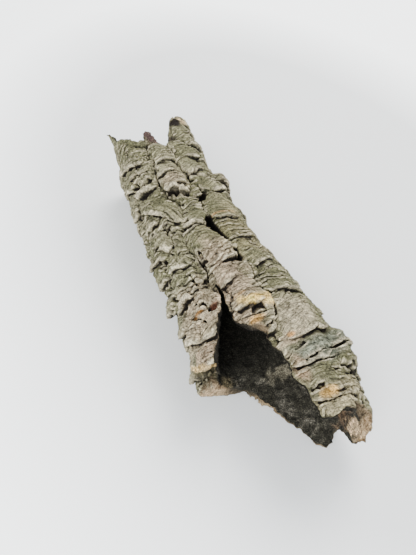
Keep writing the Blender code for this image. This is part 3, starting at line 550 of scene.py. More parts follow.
def filler_scales():
    """Seeded scales along every cord, except where one of the listed scales lies."""
    draw = np.random.default_rng(FILLER_SEED)
    made = []
    for _, line, half_width, _, spacing, rise, first, last in CORDS:
        lengths, girths = zip(*line)
        place = max(first, LENGTH_LOW) + spacing * draw.uniform(0, 1)
        while place < min(last, LENGTH_HIGH):
            gap = spacing * draw.uniform(*FILLER_GAPS)
            girth = float(np.interp(place, lengths, girths)) + draw.uniform(-FILLER_SHIFT, FILLER_SHIFT)
            half_across = half_width * draw.uniform(*FILLER_WIDTHS)
            half_along = gap * draw.uniform(*FILLER_LENGTHS)
            turn = draw.uniform(-FILLER_TURN, FILLER_TURN)
            lift = rise * draw.uniform(*FILLER_RISES)
            level = draw.uniform(*FILLER_LEVELS)
            if all(scale_place(girth, place, scale)[0] > FILLER_CLEAR for scale in SCALES):
                made.append((girth, place, half_across, half_along, turn, lift, level, FILLER_FALL))
            place += gap
    return made


def lay_scales(height, run, girth, length, scales):
    """Lays scales over a field of heights, and notes for each point how far down its scale it is."""
    for scale in scales:
        middle_girth, middle_length, half_across, half_along, _, rise, level, fall = scale
        reach = 1.3 * max(half_across, half_along) + SCALE_BOW
        near = (np.abs(wrapped(girth - middle_girth)) < reach) & (np.abs(length - middle_length) < reach)
        out, share, across = scale_place(girth[near], length[near], scale)
        past = np.maximum(out - 1, 0) * min(half_across, half_along)
        lift = rise * (np.clip(share, 0, 1) ** SCALE_FLARE - SCALE_LOW)
        top = level + lift - fall * across**2 - SCALE_SLOPE * past
        below = height[near]
        run[near] = np.where(top > below, 2 * share * half_along + middle_girth, run[near])
        height[near] = np.maximum(top, below)


def relief(girth, length):
    """Outward height of the outside at chart points, and how far down its own scale each point is."""
    girth, length = ragged_place(girth, length)
    height = -GROUND_DEPTH + np.interp(wrapped(girth), GROUND_GIRTHS, GROUND_RISES)
    for number, cord in enumerate(CORDS):
        profile = cord_profile(girth, length, cord)
        tall = cord[3] * (1 + CORD_RISE * wrapped_noise(girth, length, 24.0, 132 + 5 * number))
        cord_height = np.where(profile > 0, tall * profile, -2 * CORD_BLEND) - GROUND_DEPTH
        height = blended_top(height, cord_height, CORD_BLEND)
    run = -length + 3.0 * wrapped_noise(girth, length, 20.0, 51)
    layer = np.full(np.shape(girth), FILLER_FLOOR)
    lay_scales(layer, run, girth, length, filler_scales())
    height = height + layer
    lay_scales(height, run, girth, length, SCALES)
    for middle_girth, middle_length, half_girth, half_length, depth, lean in HOLLOWS:
        across = wrapped(girth - middle_girth) / half_girth
        along = (length - middle_length) / half_length
        height = height - depth * smooth_step(2.2 - 1.8 * np.hypot(across, along)) * (1 + lean * along)
    for lump_girth, lump_length, radius, rise in LUMPS:
        gap = np.hypot(wrapped(girth - lump_girth), length - lump_length) / radius
        height = height + rise * smooth_step(1.25 - gap)
    height = height + layered_noise(girth, length, SWELLS, 41)
    return height, run


def overhang(height, rows_across):
    """How far the grid's points lean out over a drop beside them: (round the girth, along it), in mm."""
    lower = height.copy()
    left, right = height.copy(), height.copy()
    for step in range(1, rows_across + 1):
        lower[step:] = np.minimum(lower[step:], height[:-step])
        left = np.minimum(left, np.roll(height, step, axis=1))
        right = np.minimum(right, np.roll(height, -step, axis=1))
    drops = [np.clip(height - side - OVERHANG_FROM, 0, OVERHANG_MOST) for side in (lower, left, right)]
    return OVERHANG * (drops[2] - drops[1]), -OVERHANG * drops[0]


def cuts(girth, length, cracks):
    """How deep the cracks cut the outside at chart points, in millimetres."""
    depth = np.zeros(np.shape(girth))
    wander = 1.1 * wrapped_noise(girth, length, 4.5, 44) + 0.5 * wrapped_noise(girth, length, 1.8, 45)
    uneven = np.clip(0.75 + 0.6 * wrapped_noise(girth, length, 7.0, 46), 0.1, 1.25)
    for points, half_width, deepest in cracks:
        gap = distance_to_stroke(girth, length, [(g, l, 0.0) for g, l in points]) + wander
        depth = np.maximum(depth, deepest * smooth_step(1.3 - gap / half_width))
    return depth * uneven


def roughness_share(girth, length):
    """How crumbly the outside is, from 0 to 1: more on the left flank, less on the right."""
    place = np.interp(wrapped(girth), [-130, -70, -35, -8, 10, 30, 60, 130], [0.7, 1, 1, 0.7, 0.35, 0.35, 0.7, 0.7])
    return np.clip(place + 0.45 * wrapped_noise(girth, length, 25.0, 61), 0.1, 1.2)


def fine_relief(girth, length, run):
    """Small ledges, crumbs, fissures and pits, in millimetres."""
    girth, length = ragged_place(girth, length)
    rough = roughness_share(girth, length)
    small = (run + 1.2 * wrapped_noise(girth, length, 8.0, 62)) / SMALL_LEDGE_SPACING
    share = small - np.floor(small)
    saw = np.where(share < 0.8, share / 0.8, (1 - share) / 0.2) - 0.5
    height = SMALL_LEDGE_HEIGHT * saw * (0.55 + 0.45 * wrapped_noise(girth, length, 10.0, 63))
    middle = (run + 2.4 * wrapped_noise(girth, length, 11.0, 168)) / MIDDLE_LEDGE_SPACING
    share = middle - np.floor(middle)
    saw = np.where(share < 0.88, share / 0.88, (1 - share) / 0.12) - 0.5
    height += MIDDLE_LEDGE_HEIGHT * saw * np.clip(0.35 + 0.9 * wrapped_noise(girth, length, 12.0, 169), 0, 1)
    height += rough * CRUMB_HEIGHT * wrapped_noise(girth, length, CRUMB_CELL, 64)
    height += rough * GRIT_HEIGHT * wrapped_noise(girth, length, GRIT_CELL, 65)
    along = np.abs(wrapped_noise(girth, length * 0.55 - 30, FISSURE_CELL, 66))
    fissure = FISSURE_DEPTH * np.clip(1 - along / FISSURE_WIDTH, 0, 1) * np.clip(rough, 0, 1)
    pit = PIT_DEPTH * smooth_step((wrapped_noise(girth, length, PIT_CELL, 67) - PIT_FROM) / 0.2) * rough
    return height - np.maximum(fissure, pit)


def inside_depth(girth, length):
    """How far the inside lies below the rolled section, in millimetres."""
    depth = np.full(np.shape(girth), INSIDE_DEPTH)
    for patch_girth, patch_length, reach_girth, reach_length, change in INSIDE_PATCHES:
        gap = np.hypot(wrapped(girth - patch_girth) / reach_girth, (length - patch_length) / reach_length)
        depth = depth + change * smooth_step(1.4 - gap)
    return depth + layered_noise(girth, length, INSIDE_SWELLS, 17)


def tip_bend(girth, length):
    """How far the whole wall bends outward, in millimetres, at the pointed tip of the far end."""
    tip_girth, tip_length, reach, distance = TIP_BEND
    return distance * smooth_step(1 - np.hypot(wrapped(girth - tip_girth), length - tip_length) / reach)


def clean_cells(kept):
    """Fills the cells that would touch others at a corner alone."""
    while True:
        a, b = kept[:-1], kept[1:]
        c, d = np.roll(a, -1, axis=1), np.roll(b, -1, axis=1)
        slash = a & d & ~b & ~c
        backslash = b & c & ~a & ~d
        if not (slash | backslash).any():
            return kept
        kept[1:][slash] = True
        kept[:-1][backslash] = True


def largest_patch(kept):
    """The cells joined edge to edge to the patch that starts at the middle of the underside."""
    found = np.zeros_like(kept)
    found[kept.shape[0] // 2, kept.shape[1] // 2] = True
    while True:
        grown = found | np.roll(found, 1, axis=1) | np.roll(found, -1, axis=1)
        grown[1:] |= found[:-1]
        grown[:-1] |= found[1:]
        grown &= kept
        if (grown == found).all():
            return found
        found = grown


def edge_corners(kept):
    """The grid corners that touch both bark and no bark."""
    rows = np.zeros((kept.shape[0] + 2, kept.shape[1]), bool)
    rows[1:-1] = kept
    below, above = rows[:-1], rows[1:]
    around = [below, np.roll(below, 1, axis=1), above, np.roll(above, 1, axis=1)]
    return np.any(around, axis=0) & ~np.all(around, axis=0)


def snapped_to_edge(girth, length, on_edge):
    """Moves the corners on the bark's edge to where the bark ends, within part of a cell."""
    step = 0.4
    g, l = girth[on_edge], length[on_edge]
    reach_girth = 0.4 * np.where(np.abs(wrapped(g)) < TOP_REACH, STEP_ON_TOP, STEP_BELOW)
    reach_length = 0.4 * STEP_ALONG
    for _ in range(2):
        depth = material_depth(g, l)
        slope_g = (material_depth(g + step, l) - material_depth(g - step, l)) / (2 * step)
        slope_l = (material_depth(g, l + step) - material_depth(g, l - step)) / (2 * step)
        scale = depth / np.maximum(slope_g**2 + slope_l**2, 0.3)
        g = g - np.clip(scale * slope_g, -reach_girth, reach_girth)
        l = l - np.clip(scale * slope_l, -reach_length, reach_length)
    girth[on_edge], length[on_edge] = g, l


def linear(colour):
    """A 0-255 colour as linear light."""
    share = np.array(colour, float) / 255
    return np.where(share <= 0.04045, share / 12.92, ((share + 0.055) / 1.055) ** 2.4)


def mixed(colours, colour, share):
    """Colours moved towards one colour by a share at each point."""
    share = np.clip(share, 0, 1)[..., None]
    return colours * (1 - share) + linear(colour) * share


def blurred(height, across, along):
    """A grid averaged over a box of cells, wrapping round the girth."""
    padded = np.concatenate([height[:, -across:], height, height[:, :across]], axis=1)
    padded = np.pad(padded, ((along, along), (0, 0)), mode="edge")
    total = np.zeros((padded.shape[0] + 1, padded.shape[1] + 1))
    total[1:, 1:] = padded.cumsum(0).cumsum(1)
    high, wide = 2 * along + 1, 2 * across + 1
    return (total[high:, wide:] - total[:-high, wide:] - total[high:, :-wide] + total[:-high, :-wide]) / (high * wide)


def outside_colours(girth, length, height, depth_in):
    """Linear colours of the outside, from place, with painted highlights where the relief stands out and painted shade
    where it lies low and under overhangs.
    """
    broad = wrapped_noise(girth, length, 28.0, 71)
    patch = wrapped_noise(girth, length, 9.0, 72)
    speck = wrapped_noise(girth, length, 2.4, 73)
    colours = np.broadcast_to(linear(GREY_GREEN), (*girth.shape, 3)).copy()
    colours = mixed(colours, PALE_GREY, 0.25 + 0.35 * broad + 0.3 * patch)
    colours = mixed(colours, OLIVE, 0.2 - 0.35 * broad + 0.3 * wrapped_noise(girth, length, 12.0, 74))
    for zone_girth, zone_length, reach_girth, reach_length, colour, share in ZONES:
        gap = np.hypot(wrapped(girth - zone_girth) / reach_girth, (length - zone_length) / reach_length)
        colours = mixed(colours, colour, share * smooth_step(1.5 - gap + 0.4 * patch + 0.2 * speck))
    dark_speck = smooth_step((wrapped_noise(girth, length, 1.7, 75) - 0.25) / 0.4)
    colours = colours * (1 + 0.16 * patch + 0.22 * speck - 0.45 * dark_speck * roughness_share(girth, length))[..., None]
    # Painted light and shade on the fine relief: paler where it stands out, darker where it lies low
    fine = height - blurred(height, 1, 1)
    colours = colours * (1 + np.clip(1.1 * fine, -0.5, 0.35))[..., None]
    near = height - blurred(height, 2, 3)
    wide = height - blurred(height, 6, 11)
    # Painted highlight: paler where the relief stands out of its surroundings
    colours = mixed(colours, HIGHLIGHT_AND_FLECK_TAN, 0.75 * smooth_step((near - 0.2) / 0.6) + 0.12 * smooth_step((wide - 0.6) / 2))
    # Painted shade: darker where the relief lies low and just under overhanging lips
    above = height.copy()
    for step in range(1, 6):
        above[:-step] = np.maximum(above[:-step], height[step:])
    painted_shade = smooth_step((-near - 0.1) / 0.75) * 0.9 + smooth_step((-wide - 0.45) / 2.0) * 0.8
    painted_shade = painted_shade + 0.8 * smooth_step((above - height - 1.2) / 1.6)
    colours = mixed(colours, SHADE_AND_SPECK_DARK, painted_shade)
    grain = 1 + 0.25 * speck + 0.2 * patch
    for spot_girth, spot_length, reach_girth, reach_length, colour, share in ACCENTS:
        gap = np.hypot(wrapped(girth - spot_girth) / reach_girth, (length - spot_length) / reach_length)
        colours = mixed(colours, colour, share * smooth_step(1.5 - gap + 0.25 * patch + 0.25 * speck))
        colours = colours * (1 + (grain - 1)[..., None] * smooth_step(1.5 - gap)[..., None])
    recess, past, beside = stub_recess_share(girth, length)
    # Painted shade in the stub's recessed end, past its lip
    colours = mixed(colours, STUB_HOLLOW_SHADE, 0.9 * recess)
    colours = mixed(colours, STUB_LIP_COLOUR, 0.9 * beside * smooth_step(1.5 - np.abs(past + 0.6)))
    broken = smooth_step(1 - depth_in / (1.4 + 0.8 * patch)) * (1 - hole_share(girth, length))
    return mixed(colours, BROKEN_TAN, 0.6 * broken * zone_share(girth, length, TAN_RIMS))


def inside_colours(girth, length):
    """Linear colours of the inside: nearly black, with greyer mottling near the mouth, and painted shade deeper in from
    the mouth.
    """
    colours = np.broadcast_to(linear(INSIDE_DARK), (*girth.shape, 3)).copy()
    moved_girth, moved_length = ragged_place(girth, length)
    patch = wrapped_noise(moved_girth, moved_length, 9.0, 81)
    speck = wrapped_noise(girth, length, 1.5, 82)
    grain = wrapped_noise(girth, length, 3.0, 84)
    grey = zone_share(moved_girth, moved_length, INSIDE_ZONES)
    mottled = smooth_step(0.6 * patch + 0.4 * grain + 0.5 * speck + 0.15)
    colours = mixed(colours, INSIDE_MOTTLE, (0.04 + 0.6 * grey) * mottled)
    for spot_girth, spot_length, reach_girth, reach_length, colour, share in INSIDE_SPOTS:
        gap = np.hypot(wrapped(moved_girth - spot_girth) / reach_girth, (moved_length - spot_length) / reach_length)
        colours = mixed(colours, colour, share * smooth_step(1.5 - gap + 0.6 * grain + 0.3 * speck))
    # Painted shade, darker deeper in from the mouth
    deep = 1 - DEEP_SHADE * smooth_step((length - DEEP_SHADE_FROM) / DEEP_SHADE_REACH)
    return colours * (deep * (1 + 0.4 * speck + 0.2 * grain))[..., None]


def hole_share(girth, length):
    """1 near the holes in the wall, 0 elsewhere."""
    near = np.full(np.shape(girth), np.inf)
    for stroke in HOLES:
        near = np.minimum(near, distance_to_stroke(girth, length, stroke))
    return smooth_step(1.6 - near / 2.5)


def zone_share(girth, length, zones):
    """The strongest share that any zone, as (girth, length, reach round, reach along, share), gives."""
    strongest = np.zeros(np.shape(girth))
    for middle_girth, middle_length, reach_girth, reach_length, share in zones:
        gap = np.hypot(wrapped(girth - middle_girth) / reach_girth, (length - middle_length) / reach_length)
        strongest = np.maximum(strongest, share * smooth_step(1.5 - gap))
    return strongest


def stub_share(girth, length):
    """1 at the thick broken end of the left wall, 0 elsewhere."""
    return smooth_step(1.5 - np.hypot(wrapped(girth + 72) / 26, (length + 99) / 12))


def stub_recess_share(girth, length):
    """1 past the lip of the stub's hollow end, 0 before it, and the distance past that lip."""
    past = np.interp(wrapped(girth), STUB_LIP_GIRTHS, STUB_LIP_LENGTHS) - length
    beside = smooth_step(1.5 - np.abs(wrapped(girth + 51)) / 13) * smooth_step((length + 112) / 4)
    return beside * smooth_step(past / 1.2), past, beside


def stub_hollow_share(girth):
    """1 round the hollow upper part of that broken end, 0 round its bulging lower part."""
    return smooth_step(1.5 - np.abs(wrapped(girth + 57)) / 13)


def rim_colours(girth, length, share):
    """Linear colours of a broken rim, from the outside (share 0) to the inside (share 1), darker towards its inner
    edge, with painted shade in the stub's hollow end and on the walls of the holes.
    """
    patch = wrapped_noise(girth + 40 * share, length, 5.0, 83)
    speck = wrapped_noise(girth + 60 * share, length, 2.0, 84)
    colours = np.broadcast_to(linear(BROKEN_TAN), (*girth.shape, 3)).copy()
    colours = mixed(colours, BROKEN_BROWN, 0.35 + 0.5 * patch + 0.4 * speck)
    fresh = zone_share(girth, length, TAN_RIMS)
    colours = mixed(colours, RIM_GREY, 1 - fresh - 0.2 * speck)
    colours = mixed(colours, INSIDE_DARK, (1 - fresh) * smooth_step(share / 0.5))
    # Darker towards the rim's inner edge, and dark specks
    colours = mixed(colours, SHADE_AND_SPECK_DARK, (0.8 - 0.6 * fresh) * smooth_step((share - 0.6) / 0.4) + 0.4 * smooth_step(speck))
    stub = stub_share(girth, length)
    hollow = stub_hollow_share(girth + 5 * patch)
    colours = mixed(colours, STUB_PALE, stub * (1 - hollow) * (0.75 + 0.3 * patch) * smooth_step((0.9 - share) / 0.3))
    # Painted shade in the hollow upper part of the stub's end
    colours = mixed(colours, STUB_HOLLOW_SHADE, stub * hollow * 0.95)
    # Tan flecks on the stub's hollow end
    colours = mixed(colours, HIGHLIGHT_AND_FLECK_TAN, stub * hollow * 0.7 * smooth_step((speck + patch - 0.6) / 0.4))
    # Painted shade, near black, on the walls of the holes
    return mixed(colours, HOLE_SHADE_DARK, hole_share(girth, length) * (0.35 + 0.65 * smooth_step(share / 0.3)))


def quads_to_mesh(name, points, faces):
    """A mesh of four-cornered faces, smooth shaded."""
    mesh = bpy.data.meshes.new(name)
    mesh.vertices.add(len(points))
    mesh.vertices.foreach_set("co", points.astype(np.float32).ravel())
    mesh.loops.add(faces.size)
    mesh.loops.foreach_set("vertex_index", faces.astype(np.int32).ravel())
    mesh.polygons.add(len(faces))
    mesh.polygons.foreach_set("loop_start", np.arange(0, faces.size, 4, dtype=np.int32))
    mesh.polygons.foreach_set("use_smooth", np.ones(len(faces), bool))
    mesh.update(calc_edges=True)
    mesh.validate()
    return mesh


def grid_lines():
    """The girths of the grid's columns, close together on top, and the lengths of its rows."""
    top = np.arange(0, TOP_REACH, STEP_ON_TOP)
    below = np.linspace(TOP_REACH, GIRTH - TOP_REACH, round((GIRTH - 2 * TOP_REACH) / STEP_BELOW))
    girths = np.concatenate([top, below, GIRTH - top[:0:-1]])
    return girths, np.arange(LENGTH_LOW, LENGTH_HIGH, STEP_ALONG)


def bark_arrays():
    """Points in millimetres, faces, colours and texture places of the whole bark."""
    girths, lengths = grid_lines()
    girth, length = np.meshgrid(girths, lengths)
    next_girth = np.append(girths[1:], GIRTH)
    middle = np.broadcast_to((girths + next_girth) / 2, girth[:-1].shape), (length[:-1] + length[1:]) / 2
    kept = largest_patch(clean_cells(material_depth(*middle) > 0))
    snapped_to_edge(girth, length, edge_corners(kept))
    depth_in = material_depth(girth, length)

    height, run = relief(girth, length)
    height = height - cuts(girth, length, CRACKS) - cuts(girth, length, FINE_CRACKS)
    height = height + fine_relief(girth, length, run) - STUB_RECESS * stub_recess_share(girth, length)[0]
    rim = (1 - np.clip(depth_in / RIM_TAPER, 0, 1)) ** 2
    height = height - RIM_OUTER_DROP * rim
    inside = np.maximum(inside_depth(girth, length) - thinning(girth, length), THINNEST_WALL + 1)
    inside = inside + 0.5 * wrapped_noise(girth, length, 3.0, 19) + 0.25 * wrapped_noise(girth, length, 1.4, 20)
    height = np.maximum(height, THINNEST_WALL - inside)
    push_girth, push_length = overhang(height, 3)
    bend = tip_bend(girth, length)
    outer = rolled(girth + push_girth, length + push_length, height + bend)
    inner = rolled(girth, length, bend - inside)
    outer[..., 2] = np.maximum(outer[..., 2], 0.0)

    outer_colour = outside_colours(girth, length, height, depth_in)
    inner_colour = inside_colours(girth, length)
    outer_place = np.stack([wrapped(girth), run, np.zeros_like(girth)], axis=-1)
    inner_place = np.stack([wrapped(girth), length, np.ones_like(girth)], axis=-1)

    rows, columns = kept.shape
    number = np.arange((rows + 1) * columns).reshape(rows + 1, columns)
    inner_from = number.size
    beside = np.roll(number, -1, axis=1)
    corners = np.stack([number[:-1], beside[:-1], beside[1:], number[1:]], axis=-1)
    faces = [corners[kept], corners[kept][:, ::-1] + inner_from]

    padded = np.zeros((rows + 2, columns), bool)
    padded[1:-1] = kept
    neighbours = [padded[:-2], np.roll(kept, -1, axis=1), padded[2:], np.roll(kept, 1, axis=1)]
    edges = []
    for side, neighbour in enumerate(neighbours):
        bare = kept & ~neighbour
        edges.append(np.stack([corners[..., side][bare], corners[..., (side + 1) % 4][bare]], axis=-1))
    edges = np.concatenate(edges)
    on_rim, rim_edges = np.unique(edges, return_inverse=True)
    rim_edges = rim_edges.reshape(-1, 2)

    flat_outer, flat_inner = outer.reshape(-1, 3), inner.reshape(-1, 3)
    g, l = girth.ravel()[on_rim], length.ravel()[on_rim]
    slope_g = material_depth(g + 0.8, l) - material_depth(g - 0.8, l)
    slope_l = material_depth(g, l + 0.8) - material_depth(g, l - 0.8)
    size = np.maximum(np.hypot(slope_g, slope_l), 0.2)
    tangent = rolled(g + 0.5, l, 0 * g) - rolled(g - 0.5, l, 0 * g)
    outward = -(slope_g / size)[:, None] * tangent - (slope_l / size)[:, None] * np.array([0.0, 1.0, 0.0])
    stub, hollow = stub_share(g, l), stub_hollow_share(g)
    points, colours = [flat_outer, flat_inner], [outer_colour.reshape(-1, 3), inner_colour.reshape(-1, 3)]
    places = [outer_place.reshape(-1, 3), inner_place.reshape(-1, 3)]
    ring_from = [on_rim]
    next_number = 2 * inner_from
    for row in range(1, RIM_ROWS):
        share = row / RIM_ROWS
        arch = math.sin(math.pi * share)
        bulge = -0.8 * arch + stub * (STUB_BULGE * (1 - hollow) - STUB_HOLLOW * hollow) * arch**0.6
        bulge = bulge + 1.1 * wrapped_noise(g + 33 * share, l + 21 * share, 4.0, 91) * math.sin(math.pi * share)
        bulge = bulge + 0.6 * wrapped_noise(g + 57 * share, l - 35 * share, 1.8, 92) * math.sin(math.pi * share) ** 0.5
        points.append(flat_outer[on_rim] * (1 - share) + flat_inner[on_rim] * share + outward * bulge[:, None])
        colours.append(rim_colours(g, l, np.full_like(g, share)))
        places.append(np.stack([wrapped(g), l + 20 * share, np.full_like(g, 0.5)], axis=-1))
        ring_from.append(np.arange(next_number, next_number + len(on_rim)))
        next_number += len(on_rim)
    ring_from.append(on_rim + inner_from)
    for upper, lower in zip(ring_from[:-1], ring_from[1:]):
        a, b = rim_edges[:, 0], rim_edges[:, 1]
        faces.append(np.stack([upper[b], upper[a], lower[a], lower[b]], axis=-1))

    faces = np.concatenate(faces)
    points, colours, places = np.concatenate(points), np.concatenate(colours), np.concatenate(places)
    points[:, 2] = np.maximum(points[:, 2], 0.0)
    used, numbers = np.unique(faces, return_inverse=True)
    return points[used], numbers.reshape(-1, 4), colours[used], places[used]


def node(tree, kind, place, **settings):
    """A shader node at a place on the sheet, with its settings."""
    made = tree.nodes.new(kind)
    made.location = place
    for name, value in settings.items():
        setattr(made, name, value)
    return made


def bark_material():
    """Dry cork: colours by place, finer specks and growth lines by node."""
    material = bpy.data.materials.new("cork_bark_look")
    material.use_nodes = True
    tree = material.node_tree
    shader = tree.nodes["Principled BSDF"]
    link = tree.links.new
    colour = node(tree, "ShaderNodeAttribute", (-1100, 300), attribute_name="bark_colour")
    place = node(tree, "ShaderNodeAttribute", (-1500, -100), attribute_name="chart")
    stretch = node(tree, "ShaderNodeMapping", (-1300, -100))
    stretch.inputs["Scale"].default_value = (0.16, 1.1, 3.0)
    link(place.outputs["Vector"], stretch.inputs["Vector"])
    lines = node(tree, "ShaderNodeTexNoise", (-1100, -100))
    lines.inputs["Scale"].default_value = 1.0
    lines.inputs["Detail"].default_value = 6.0
    lines.inputs["Roughness"].default_value = 0.65
    lines.inputs["Distortion"].default_value = 0.6
    link(stretch.outputs["Vector"], lines.inputs["Vector"])
    spot = node(tree, "ShaderNodeTexCoord", (-1500, -400))
    specks = node(tree, "ShaderNodeTexNoise", (-1100, -400))
    specks.inputs["Scale"].default_value = 620.0
    specks.inputs["Detail"].default_value = 6.0
    specks.inputs["Roughness"].default_value = 0.7
    link(spot.outputs["Object"], specks.inputs["Vector"])

    line_shade = node(tree, "ShaderNodeMapRange", (-850, -100))
    line_shade.inputs["From Min"].default_value = 0.36
    line_shade.inputs["From Max"].default_value = 0.64
    line_shade.inputs["To Min"].default_value = 0.4
    line_shade.inputs["To Max"].default_value = 1.42
    link(lines.outputs["Fac"], line_shade.inputs["Value"])
    speck_shade = node(tree, "ShaderNodeMapRange", (-850, -400))
    speck_shade.inputs["From Min"].default_value = 0.34
    speck_shade.inputs["From Max"].default_value = 0.66
    speck_shade.inputs["To Min"].default_value = 0.36
    speck_shade.inputs["To Max"].default_value = 1.46
    link(specks.outputs["Fac"], speck_shade.inputs["Value"])
    wide_stretch = node(tree, "ShaderNodeMapping", (-1300, 100))
    wide_stretch.inputs["Scale"].default_value = (0.07, 0.42, 3.0)
    link(place.outputs["Vector"], wide_stretch.inputs["Vector"])
    wide_lines = node(tree, "ShaderNodeTexNoise", (-1100, 100))
    wide_lines.inputs["Scale"].default_value = 1.0
    wide_lines.inputs["Detail"].default_value = 4.0
    wide_lines.inputs["Distortion"].default_value = 0.8
    link(wide_stretch.outputs["Vector"], wide_lines.inputs["Vector"])
    wide_shade = node(tree, "ShaderNodeMapRange", (-850, 100))
    wide_shade.inputs["From Min"].default_value = 0.36
    wide_shade.inputs["From Max"].default_value = 0.64
    wide_shade.inputs["To Min"].default_value = 0.62
    wide_shade.inputs["To Max"].default_value = 1.24
    link(wide_lines.outputs["Fac"], wide_shade.inputs["Value"])
    fuzz = node(tree, "ShaderNodeTexNoise", (-1100, -950))
    fuzz.inputs["Scale"].default_value = 1500.0
    fuzz.inputs["Detail"].default_value = 2.0
    link(spot.outputs["Object"], fuzz.inputs["Vector"])
    pores = node(tree, "ShaderNodeTexNoise", (-1100, -700))
    pores.inputs["Scale"].default_value = 1000.0
    pores.inputs["Detail"].default_value = 2.0
    link(spot.outputs["Object"], pores.inputs["Vector"])
    pore_shade = node(tree, "ShaderNodeMapRange", (-850, -700))
    pore_shade.inputs["From Min"].default_value = 0.55
    pore_shade.inputs["From Max"].default_value = 0.66
    pore_shade.inputs["To Min"].default_value = 1.08
    pore_shade.inputs["To Max"].default_value = 0.35
    link(pores.outputs["Fac"], pore_shade.inputs["Value"])
    fuzz_shade = node(tree, "ShaderNodeMapRange", (-850, -950))
    fuzz_shade.inputs["From Min"].default_value = 0.46
    fuzz_shade.inputs["From Max"].default_value = 0.68
    fuzz_shade.inputs["To Min"].default_value = 0.55
    fuzz_shade.inputs["To Max"].default_value = 2.8
    link(fuzz.outputs["Fac"], fuzz_shade.inputs["Value"])
    both_lines = node(tree, "ShaderNodeMath", (-700, 0), operation="MULTIPLY")
    link(line_shade.outputs["Result"], both_lines.inputs[0])
    link(wide_shade.outputs["Result"], both_lines.inputs[1])
    lined = node(tree, "ShaderNodeMath", (-650, -200), operation="MULTIPLY")
    link(both_lines.outputs["Value"], lined.inputs[0])
    link(speck_shade.outputs["Result"], lined.inputs[1])
    pored = node(tree, "ShaderNodeMath", (-550, -400), operation="MULTIPLY")
    link(lined.outputs["Value"], pored.inputs[0])
    link(pore_shade.outputs["Result"], pored.inputs[1])
    side = node(tree, "ShaderNodeSeparateXYZ", (-1300, -950))
    link(place.outputs["Vector"], side.inputs["Vector"])
    shade = node(tree, "ShaderNodeMix", (-450, -500))
    link(side.outputs["Z"], shade.inputs["Factor"])
    link(pored.outputs["Value"], shade.inputs[2])
    link(fuzz_shade.outputs["Result"], shade.inputs[3])
    tint = node(tree, "ShaderNodeVectorMath", (-450, 200), operation="SCALE")
    link(colour.outputs["Color"], tint.inputs[0])
    link(shade.outputs["Result"], tint.inputs["Scale"])
    link(tint.outputs["Vector"], shader.inputs["Base Color"])

    line_bump = node(tree, "ShaderNodeBump", (-450, -300))
    line_bump.inputs["Strength"].default_value = 0.8
    line_bump.inputs["Distance"].default_value = 0.0015
    link(lines.outputs["Fac"], line_bump.inputs["Height"])
    speck_bump = node(tree, "ShaderNodeBump", (-250, -300))
    speck_bump.inputs["Strength"].default_value = 0.8
    speck_bump.inputs["Distance"].default_value = 0.0013
    link(specks.outputs["Fac"], speck_bump.inputs["Height"])
    link(line_bump.outputs["Normal"], speck_bump.inputs["Normal"])
    link(speck_bump.outputs["Normal"], shader.inputs["Normal"])
    shader.inputs["Roughness"].default_value = 0.92
    shader.inputs["Metallic"].default_value = 0.0
    shader.inputs["Specular IOR Level"].default_value = 0.22
    return material


def make_bark():
    """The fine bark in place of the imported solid."""
    points, faces, colours, places = bark_arrays()
    points[:, :2] -= np.array(ORIGIN_SHIFT)
    mesh = quads_to_mesh("cork_bark_fine", points * MM, faces)
    colour = mesh.attributes.new("bark_colour", "FLOAT_COLOR", "POINT")
    alpha = np.ones((len(colours), 1))
    colour.data.foreach_set("color", np.concatenate([np.clip(colours, 0, 1), alpha], axis=1).astype(np.float32).ravel())
    place = mesh.attributes.new("chart", "FLOAT_VECTOR", "POINT")
    place.data.foreach_set("vector", places.astype(np.float32).ravel())
    bark = bpy.data.objects.new("cork_bark_fine", mesh)
    bpy.context.scene.collection.objects.link(bark)
    fewer = bark.modifiers.new("fewer_faces", "DECIMATE")
    fewer.ratio = min(1.0, KEPT_TRIANGLES / (2 * len(faces)))
    light = bpy.data.meshes.new_from_object(bark.evaluated_get(bpy.context.evaluated_depsgraph_get()))
    bpy.data.objects.remove(bark)
    split_bark(light, bark_material())


